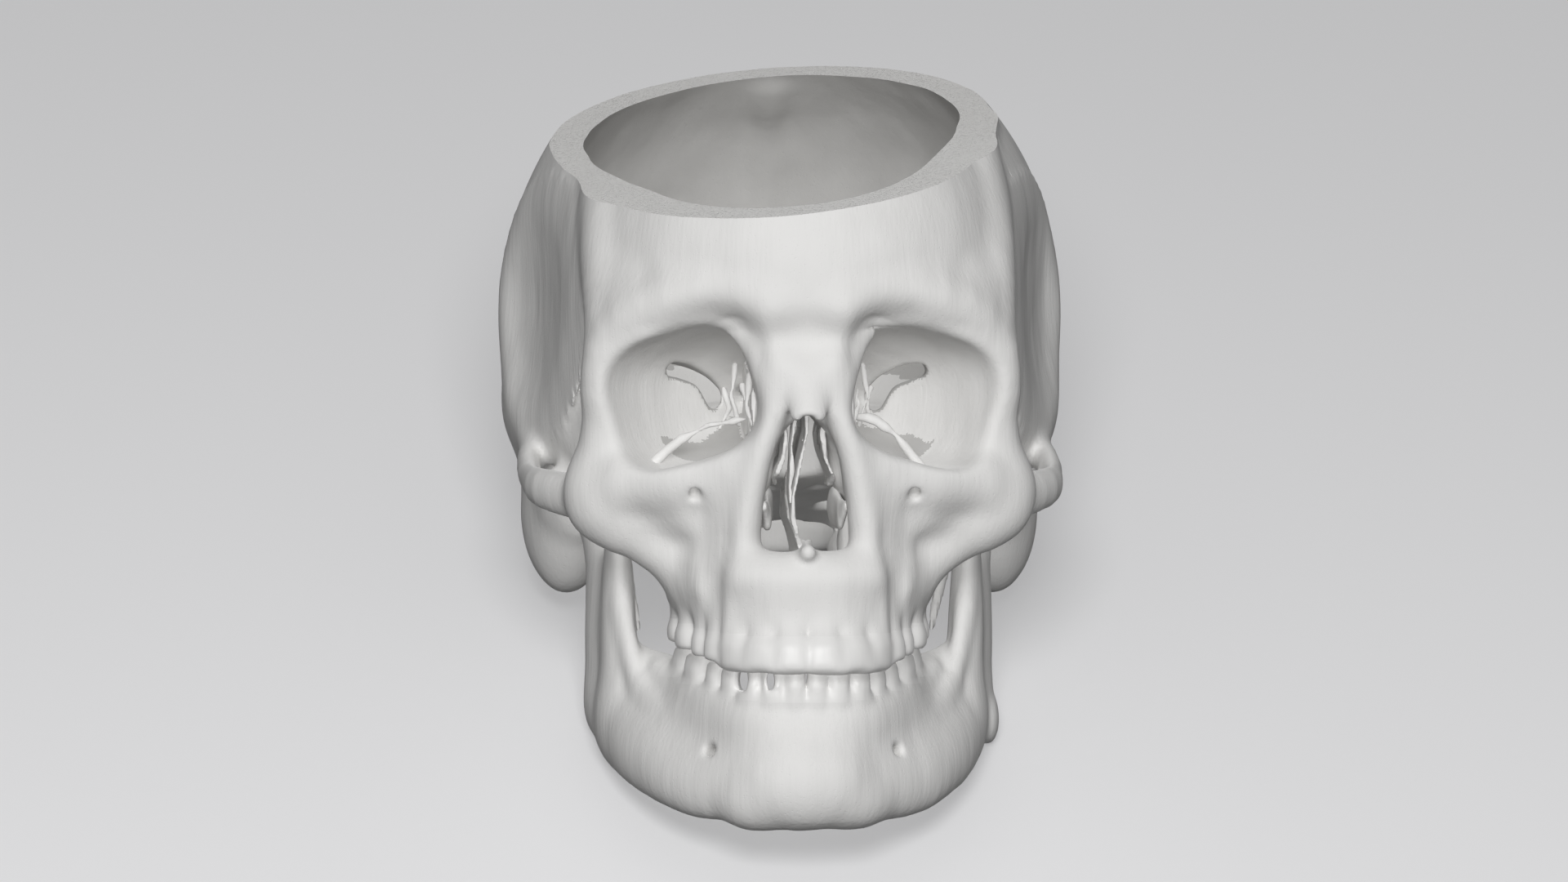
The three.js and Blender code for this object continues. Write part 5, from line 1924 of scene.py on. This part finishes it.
@dataclass(frozen=True)
class OrbitWalls:
    """The paper-thin inner wall and the broken floor of both orbits."""

    wall: tuple[Pair, ...] = (
        (-79, 24), (-80, 12), (-74, 7), (-58, 9), (-47, 12), (-46, 22), (-60, 27),
    )
    wall_bend: tuple[Pair, ...] = ((6, 13.4), (12, 12.6), (18, 12.4), (28, 13.6))
    wall_thickness: float = 0.8
    lip: dict[Side, tuple[Triple, ...]] = field(
        default_factory=lambda: {
            Side.RIGHT: (
                (-41, -70, -2), (-36.5, -68, 2), (-30.4, -66.5, 7.4), (-23.1, -68, 11),
                (-14, -69, 12.5),
            ),
            Side.LEFT: (
                (12, -70, 14), (19, -71, 12.2), (24, -71, 8.6), (27.5, -71, 4), (32, -71, -1.5),
            ),
        }
    )
    lip_radius: float = 1.2
    strands: tuple[tuple[float, float, float, float], ...] = (
        (13.2, -76, 9, 24), (14.8, -70, 10, 21), (16.2, -64, 11, 26), (18.6, -56, 10, 20),
    )
    strand_radius: float = 0.62
    strand_bow: float = 1.1
    strand_seed: int = 60

    def leaves(self) -> Iterator[tuple[str, Leaf]]:
        """Make the inner walls, the lips of the broken floors and the strands between them.

        Yields:
            The name of the bone that each plate belongs to, with the plate.
        """
        for side in Side:
            bend = tuple((z, side.value * x) for z, x in self.wall_bend)
            wall = Plate(self.wall, bend, self.wall_thickness)
            yield "ethmoid_bone", Leaf(wall, Relief(0.62, (2.6, 3.6, 3), 51 + side.value))
            lip = rod(self.lip_radius, *self.lip[side])
            yield f"maxilla{side.suffix}", Leaf(lip, Relief(0.9, (2.8, 2.8, 2.8), 55 + side.value))
            for number, (x, y, low, high) in enumerate(self.strands):
                bow = self.strand_bow * (-1) ** number
                places = ((x, y, high), (x + bow, y - 1, (low + high) / 2), (x - bow, y, low))
                strand = rod(self.strand_radius, *((side.value * a, b, c) for a, b, c in places))
                seed = self.strand_seed + 10 * side.value + number
                yield "ethmoid_bone", Leaf(strand, Relief(0.6, (2.2, 2.2, 3.4), seed))


@dataclass(frozen=True)
class Cranium:
    """All the bones above the jaw joint, carved from two blocks: a fine front and a plainer back."""

    braincase: Braincase = Braincase()
    face: FaceBones = FaceBones()
    nose: NoseInside = NoseInside()
    orbit_walls: OrbitWalls = OrbitWalls()
    upper_teeth: Dentition = UPPER_TEETH
    bones: tuple[BoneCut, ...] = BONE_CUTS
    front_pitch: float = 0.7
    back_pitch: float = 1.1
    front_low: Triple = (0.0, -112.0, -58.0)
    front_high: Triple = (80.0, -7.0, 98.0)
    back_low: Triple = (0.0, -53.0, -50.0)
    back_high: Triple = (80.0, 98.0, 118.0)
    back_bones: tuple[str, ...] = (
        "parietal_left",
        "parietal_right",
        "occipital_bone",
        "temporal_left",
        "temporal_right",
    )
    surface: tuple[Relief, ...] = (Relief(0.22, (9, 9, 22), 11), Relief(0.1, (3, 3, 9), 12))
    inner_surface: Relief = Relief(0.9, (11, 11, 11), 13)

    def steps(self) -> tuple[Step, ...]:
        """Return every step that the two halves of the cranium share.

        Returns:
            The steps, in order.
        """
        return (
            self.braincase.outside
            + self.face.outside
            + self.braincase.inside
            + self.face.openings
            + self.face.nasal_spine
            + self.braincase.joint_and_ear
            + self.upper_teeth.steps()
        )

    def block(self, low: Triple, high: Triple, pitch: float, name: str) -> Solid:
        """Return the skin of one block of the cranium, sawn open.

        Args:
            low: The lowest corner of its left half.
            high: The highest corner.
            pitch: The distance between its points.
            name: The name of the solid.

        Returns:
            The solid.
        """
        sculpt = Sculpt(low, high, pitch * (1))
        sculpt.apply(self.steps()).mirror().apply(self.face.one_sided)
        for relief in self.surface:
            sculpt.roughen(relief)
        sculpt.roughen(self.inner_surface, self.braincase.inner_wall)
        solid = sculpt.skin(name)
        saw = Pose().saw_block()
        solid.shape(saw, Shaping.CUT)
        saw.discard()
        return solid

    def leaves(self, node: str) -> Iterator[Leaf]:
        """Gather the thin plates that grow out of a bone.

        Args:
            node: The name of the bone.

        Yields:
            Each of its plates.
        """
        if node == "ethmoid_bone":
            yield from self.nose.ethmoid_leaves()
        yield from (leaf for owner, leaf in self.orbit_walls.leaves() if owner == node)

    def build(self, dresser: Dresser) -> None:
        """Sculpt, carve and dress every bone and upper tooth.

        Args:
            dresser: What finishes the pieces.
        """
        front = self.block(self.front_low, self.front_high, self.front_pitch, "front")
        back = self.block(self.back_low, self.back_high, self.back_pitch, "back")
        jaws: dict[Side, Solid] = {}
        for bone in self.bones:
            for node, cell in bone.cells():
                source = back if node in self.back_bones else front
                piece = source.copy(node).shape(cell, Shaping.KEEP)
                front.shape(cell, Shaping.CUT)
                back.shape(cell, Shaping.CUT)
                cell.discard()
                for leaf in self.leaves(node):
                    plate = leaf.solid("leaf")
                    piece.shape(plate, Shaping.JOIN)
                    plate.discard()
                if bone.name == "maxilla":
                    jaws[Side.LEFT if node.endswith("left") else Side.RIGHT] = piece
                else:
                    dresser.dress(piece, node, Body.SKULL, Slot.BONE)
        self.upper_teeth.split(jaws, dresser, Body.SKULL)
        for side, bone in jaws.items():
            dresser.dress(bone, f"maxilla{side.suffix}", Body.SKULL, Slot.BONE)
        front.discard()
        back.discard()


@dataclass(frozen=True)
class LowerJaw:
    """The mandible and its teeth."""

    forms: tuple[Step, ...] = (
        # tooth-bearing part, body and lower border
        add(4, chain(
            (0, -88.5, -65, 5, 4.8, 7.5),
            (8, -87.5, -65, 5, 5, 7.5),
            (14.5, -84, -64, 5.2, 5, 7.5),
            (20.5, -75.5, -61.5, 5.5, 5, 8),
            (25.5, -65, -59, 5.8, 5, 8),
            (29.5, -53, -56.5, 5.5, 5, 8),
            (38, -41, -54, 4.5, 5, 8),
        )),
        add(5, chain(
            (0, -89, -74, 5, 5, 8),
            (9, -86.6, -74, 5, 5, 8),
            (17.5, -78.8, -72, 5.2, 5, 8),
            (28, -66, -69, 5.2, 5, 8),
            (35, -53, -65, 5, 5, 8),
            (42, -38, -60, 4.2, 6, 8),
        )),
        add(8, chain(
            (0, -86.8, -80.4, 6.5, 8, 8.8),
            (9.5, -86, -80.8, 6.5, 7.5, 8.4),
            (17, -82, -80.8, 6.2, 6.5, 8),
            (25, -75, -80.2, 6, 6, 8),
            (33, -65, -77.5, 5.6, 6, 8),
            (40, -51, -72.5, 5.3, 6, 8.5),
            (45, -35, -67, 4.5, 6, 9),
            (47.5, -21.5, -61.5, 3.6, 7.5, 8),
        )),
        # ramus, with its two points
        add(5, chain(
            (43, -37, -60, 4.2, 7, 8),
            (44.5, -37.5, -24, 3.2, 6.5, 6),
            (45.5, -39.5, -8, 2.2, 3, 3),
        )),
        add(4, chain(
            (47.5, -21.5, -60, 3.6, 7, 7),
            (47.5, -19.5, -26, 3.6, 6, 6),
            (50, -13, -7, 6, 3.6, 4),
        )),
        add(4, chain((44.5, -36, -42, 3.2, 5, 20), (47.5, -21, -42, 3.4, 5, 20))),
        add(2, ball(50, -12, -3, 9, 4.5, 4.2)),
        # chin, oblique line and the marks of the muscles
        add(10, ball(0, -88.5, -79, 11, 7.5, 9)),
        add(6, ball(13, -85, -84.5, 6, 5.5, 5)),
        add(3, chain(
            (43.5, -43, -36, 1.8, 2, 4),
            (40, -48, -54, 2, 2, 3),
            (31, -63, -66, 1.5, 2, 2),
        )),
        add(3, chain((35, -50, -52, 1.4, 2, 2), (24, -66, -66, 1.4, 2, 2))),
        add(1.5, ball(1.5, -82.5, -80, 1.2, 2, 2)),
        cut(1.5, chain((28, -88, -68, 1.6, 1.6, 1.6), (20.5, -76, -73, 1.5, 1.5, 1.5))),
        cut(1.5, chain((41, -28, -34, 1.8, 1.8, 3), (47, -27, -42, 1.5, 1.5, 2))),
    )
    teeth: Dentition = LOWER_TEETH
    gaps: tuple[Step, ...] = (
        cut(0.8, chain((-16.4, -92, -53, 1.2, 3, 2.9), (-14.2, -76, -53, 1.2, 3, 2.9))),
        cut(0.8, chain((-9.2, -96, -53, 0.9, 3, 2.5), (-8.4, -80, -53, 0.9, 3, 2.5))),
        add(4, ball(51, -23, -66, 2.2, 6, 5)),
    )
    low: Triple = (0.0, -104.0, -98.0)
    high: Triple = (66.0, 4.0, 8.0)
    pitch: float = 0.7
    surface: tuple[Relief, ...] = (Relief(0.2, (8, 8, 18), 21), Relief(0.09, (3, 3, 8), 22))

    def build(self, dresser: Dresser) -> None:
        """Sculpt, split and dress the jaw and its teeth.

        Args:
            dresser: What finishes the pieces.
        """
        sculpt = Sculpt(self.low, self.high, self.pitch * (1))
        sculpt.apply(self.forms + self.teeth.steps()).mirror().apply(self.gaps)
        for relief in self.surface:
            sculpt.roughen(relief)
        mandible = sculpt.skin("mandible")
        self.teeth.split({Side.LEFT: mandible, Side.RIGHT: mandible}, dresser, Body.LOWER_JAW)
        dresser.dress(mandible, "mandible", Body.LOWER_JAW, Slot.BONE)


# ---------------------------------------------------------------------------------------------- studio


@dataclass(frozen=True)
class Studio:
    """A pale floor, soft lamps before and behind the skull, and the camera of the photograph."""

    distance: float = 9.0
    frame_width: float = 0.4
    sensor: float = 36.0
    nearest: float = 1.0
    farthest: float = 60.0
    middle_right: float = 0.3
    middle_up: float = 5.2
    floor_half: float = 12.0
    floor_colour: Triple = (0.86, 0.86, 0.87)
    floor_bounce: Triple = (0.08, 0.08, 0.08)
    floor_roughness: float = 0.9
    floor_specular: float = 0.1
    lamp_distance: float = 2.1
    lamp_size: float = 0.7
    lamp_rise: float = 0.52
    key_power: float = 15.0
    fill_power: float = 25.5
    back_rise: float = 1.2
    back_power: float = 9.0
    world_strength: float = 0.13

    def build(self, rest: Matrix, pose: Pose) -> None:
        """Make the camera, the lights and the floor.

        Args:
            rest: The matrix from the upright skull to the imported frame.
            pose: Where the photograph was taken from.
        """
        yaw, rise = math.radians(pose.camera_yaw), math.radians(pose.camera_rise)
        level = math.cos(rise)
        back = Vector((-math.sin(yaw) * level, -math.cos(yaw) * level, math.sin(rise)))
        right = Vector((math.cos(yaw), -math.sin(yaw), 0))
        turn = rest.to_3x3().normalized()
        axes = Matrix([turn @ right, turn @ back.cross(right), turn @ back]).transposed()
        target = rest.translation + axes.col[0] * (self.middle_right * METRES)
        target += axes.col[1] * (self.middle_up * METRES)
        self.make_camera(target, axes)
        self.make_lights(target, axes)
        self.make_world()
        self.make_floor()

    def make_camera(self, target: Vector, axes: Matrix) -> None:
        """Place the camera so that it looks along the photograph's line of sight.

        Args:
            target: The middle of what it sees.
            axes: Its directions to the right, upwards and backwards, as columns.
        """
        camera = bpy.data.objects.new("camera", bpy.data.cameras.new("camera"))
        camera.data.sensor_width = self.sensor
        camera.data.lens = self.sensor * self.distance / self.frame_width
        camera.data.clip_start = self.nearest
        camera.data.clip_end = self.farthest
        camera.matrix_world = Matrix.Translation(target + axes.col[2] * self.distance) @ axes.to_4x4()
        bpy.context.scene.collection.objects.link(camera)
        bpy.context.scene.camera = camera

    def make_lights(self, target: Vector, axes: Matrix) -> None:
        """Place two soft lamps above the camera, the first of which casts shadows, and one behind.

        Args:
            target: What the lamps are turned to.
            axes: The camera's directions to the right, upwards and backwards, as columns.
        """
        ahead = axes.col[2] * self.lamp_distance
        above = target + ahead + axes.col[1] * self.lamp_rise
        behind = target - ahead + axes.col[1] * self.back_rise
        lamps = (
            ("key", self.key_power, above, True),
            ("fill", self.fill_power, above, False),
            ("back", self.back_power, behind, False),
        )
        for name, power, place, shadow in lamps:
            lamp = bpy.data.lights.new(name, "AREA")
            lamp.shape = "DISK"
            lamp.size = self.lamp_size
            lamp.energy = power
            lamp.use_shadow = shadow
            light = bpy.data.objects.new(name, lamp)
            aim = (place - target).to_track_quat("Z", "Y").to_matrix().to_4x4()
            light.matrix_world = Matrix.Translation(place) @ aim
            bpy.context.scene.collection.objects.link(light)

    def make_world(self) -> None:
        """Fill the shadows with a pale, even sky."""
        world = bpy.data.worlds.new("studio")
        world.use_nodes = True
        background = world.node_tree.nodes["Background"]
        background.inputs["Color"].default_value = (1, 1, 1, 1)
        background.inputs["Strength"].default_value = self.world_strength
        bpy.context.scene.world = world

    def make_floor(self) -> None:
        """Lay the floor as staging: pale where it is seen, dark where it would light the skull."""
        half = self.floor_half
        points = np.array([(-half, -half, 0), (half, -half, 0), (half, half, 0), (-half, half, 0)])
        floor = Solid("floor", points, [np.array([[0, 1, 2, 3]])])
        material = bpy.data.materials.new("pale floor")
        material.use_nodes = True
        tree = material.node_tree
        shader = tree.nodes["Principled BSDF"]
        shader.inputs["Roughness"].default_value = self.floor_roughness
        shader.inputs["Specular IOR Level"].default_value = self.floor_specular
        path = tree.nodes.new("ShaderNodeLightPath")
        rays = path.outputs
        seen = math_node(tree, "MAXIMUM", rays["Is Camera Ray"], rays["Is Glossy Ray"])
        seen = math_node(tree, "MAXIMUM", seen, rays["Is Transmission Ray"])
        mix = tree.nodes.new("ShaderNodeMix")
        mix.data_type = "RGBA"
        mix.inputs["A"].default_value = (*self.floor_bounce, 1)
        mix.inputs["B"].default_value = (*self.floor_colour, 1)
        tree.links.new(seen, mix.inputs["Factor"])
        tree.links.new(mix.outputs["Result"], shader.inputs["Base Color"])
        floor.obj.data.materials.append(material)


def dress_packed_nodes(frame: dict, materials: dict[Slot, bpy.types.Material]) -> None:
    """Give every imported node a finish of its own, also those that finer pieces replace.

    Args:
        frame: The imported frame.
        materials: The material of each slot.
    """
    for name, obj in frame["nodes"].items():
        kind = Slot.TOOTH if name.startswith(tuple(jaw.value for jaw in Jaw)) else Slot.BONE
        for slot in obj.material_slots:
            slot.material = materials[kind]


def main() -> None:
    """Build the skull, piece by piece, and the studio round it."""
    logging.basicConfig(level=logging.INFO, format="%(message)s")
    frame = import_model()
    pose = Pose()
    rest = pose.rest(frame)
    effects = Effects(-rest.to_euler().x)
    palette = Palette()
    # The inner finish is a darker grey that paints in the shade inside the braincase.
    finishes = (palette.bone, palette.tooth, palette.sawn, palette.inner)
    bone, tooth, sawn, inner = (finish.material(effects) for finish in finishes)
    cranium = Cranium()
    dresser = Dresser(
        rest=rest,
        saw_normal=pose.saw_normal,
        saw_height=pose.saw_height,
        bone=bone,
        tooth=tooth,
        sawn=sawn,
        inner=inner,
        inner_space=cranium.braincase.inner_wall,
    )
    Studio().build(rest, pose)
    dress_packed_nodes(frame, {Slot.BONE: bone, Slot.TOOTH: tooth})
    cranium.build(dresser)
    cranium.nose.build(dresser)
    LowerJaw().build(dresser)
    bpy.context.scene.view_settings.view_transform = "Standard"


if __name__ == "__main__":
    main()
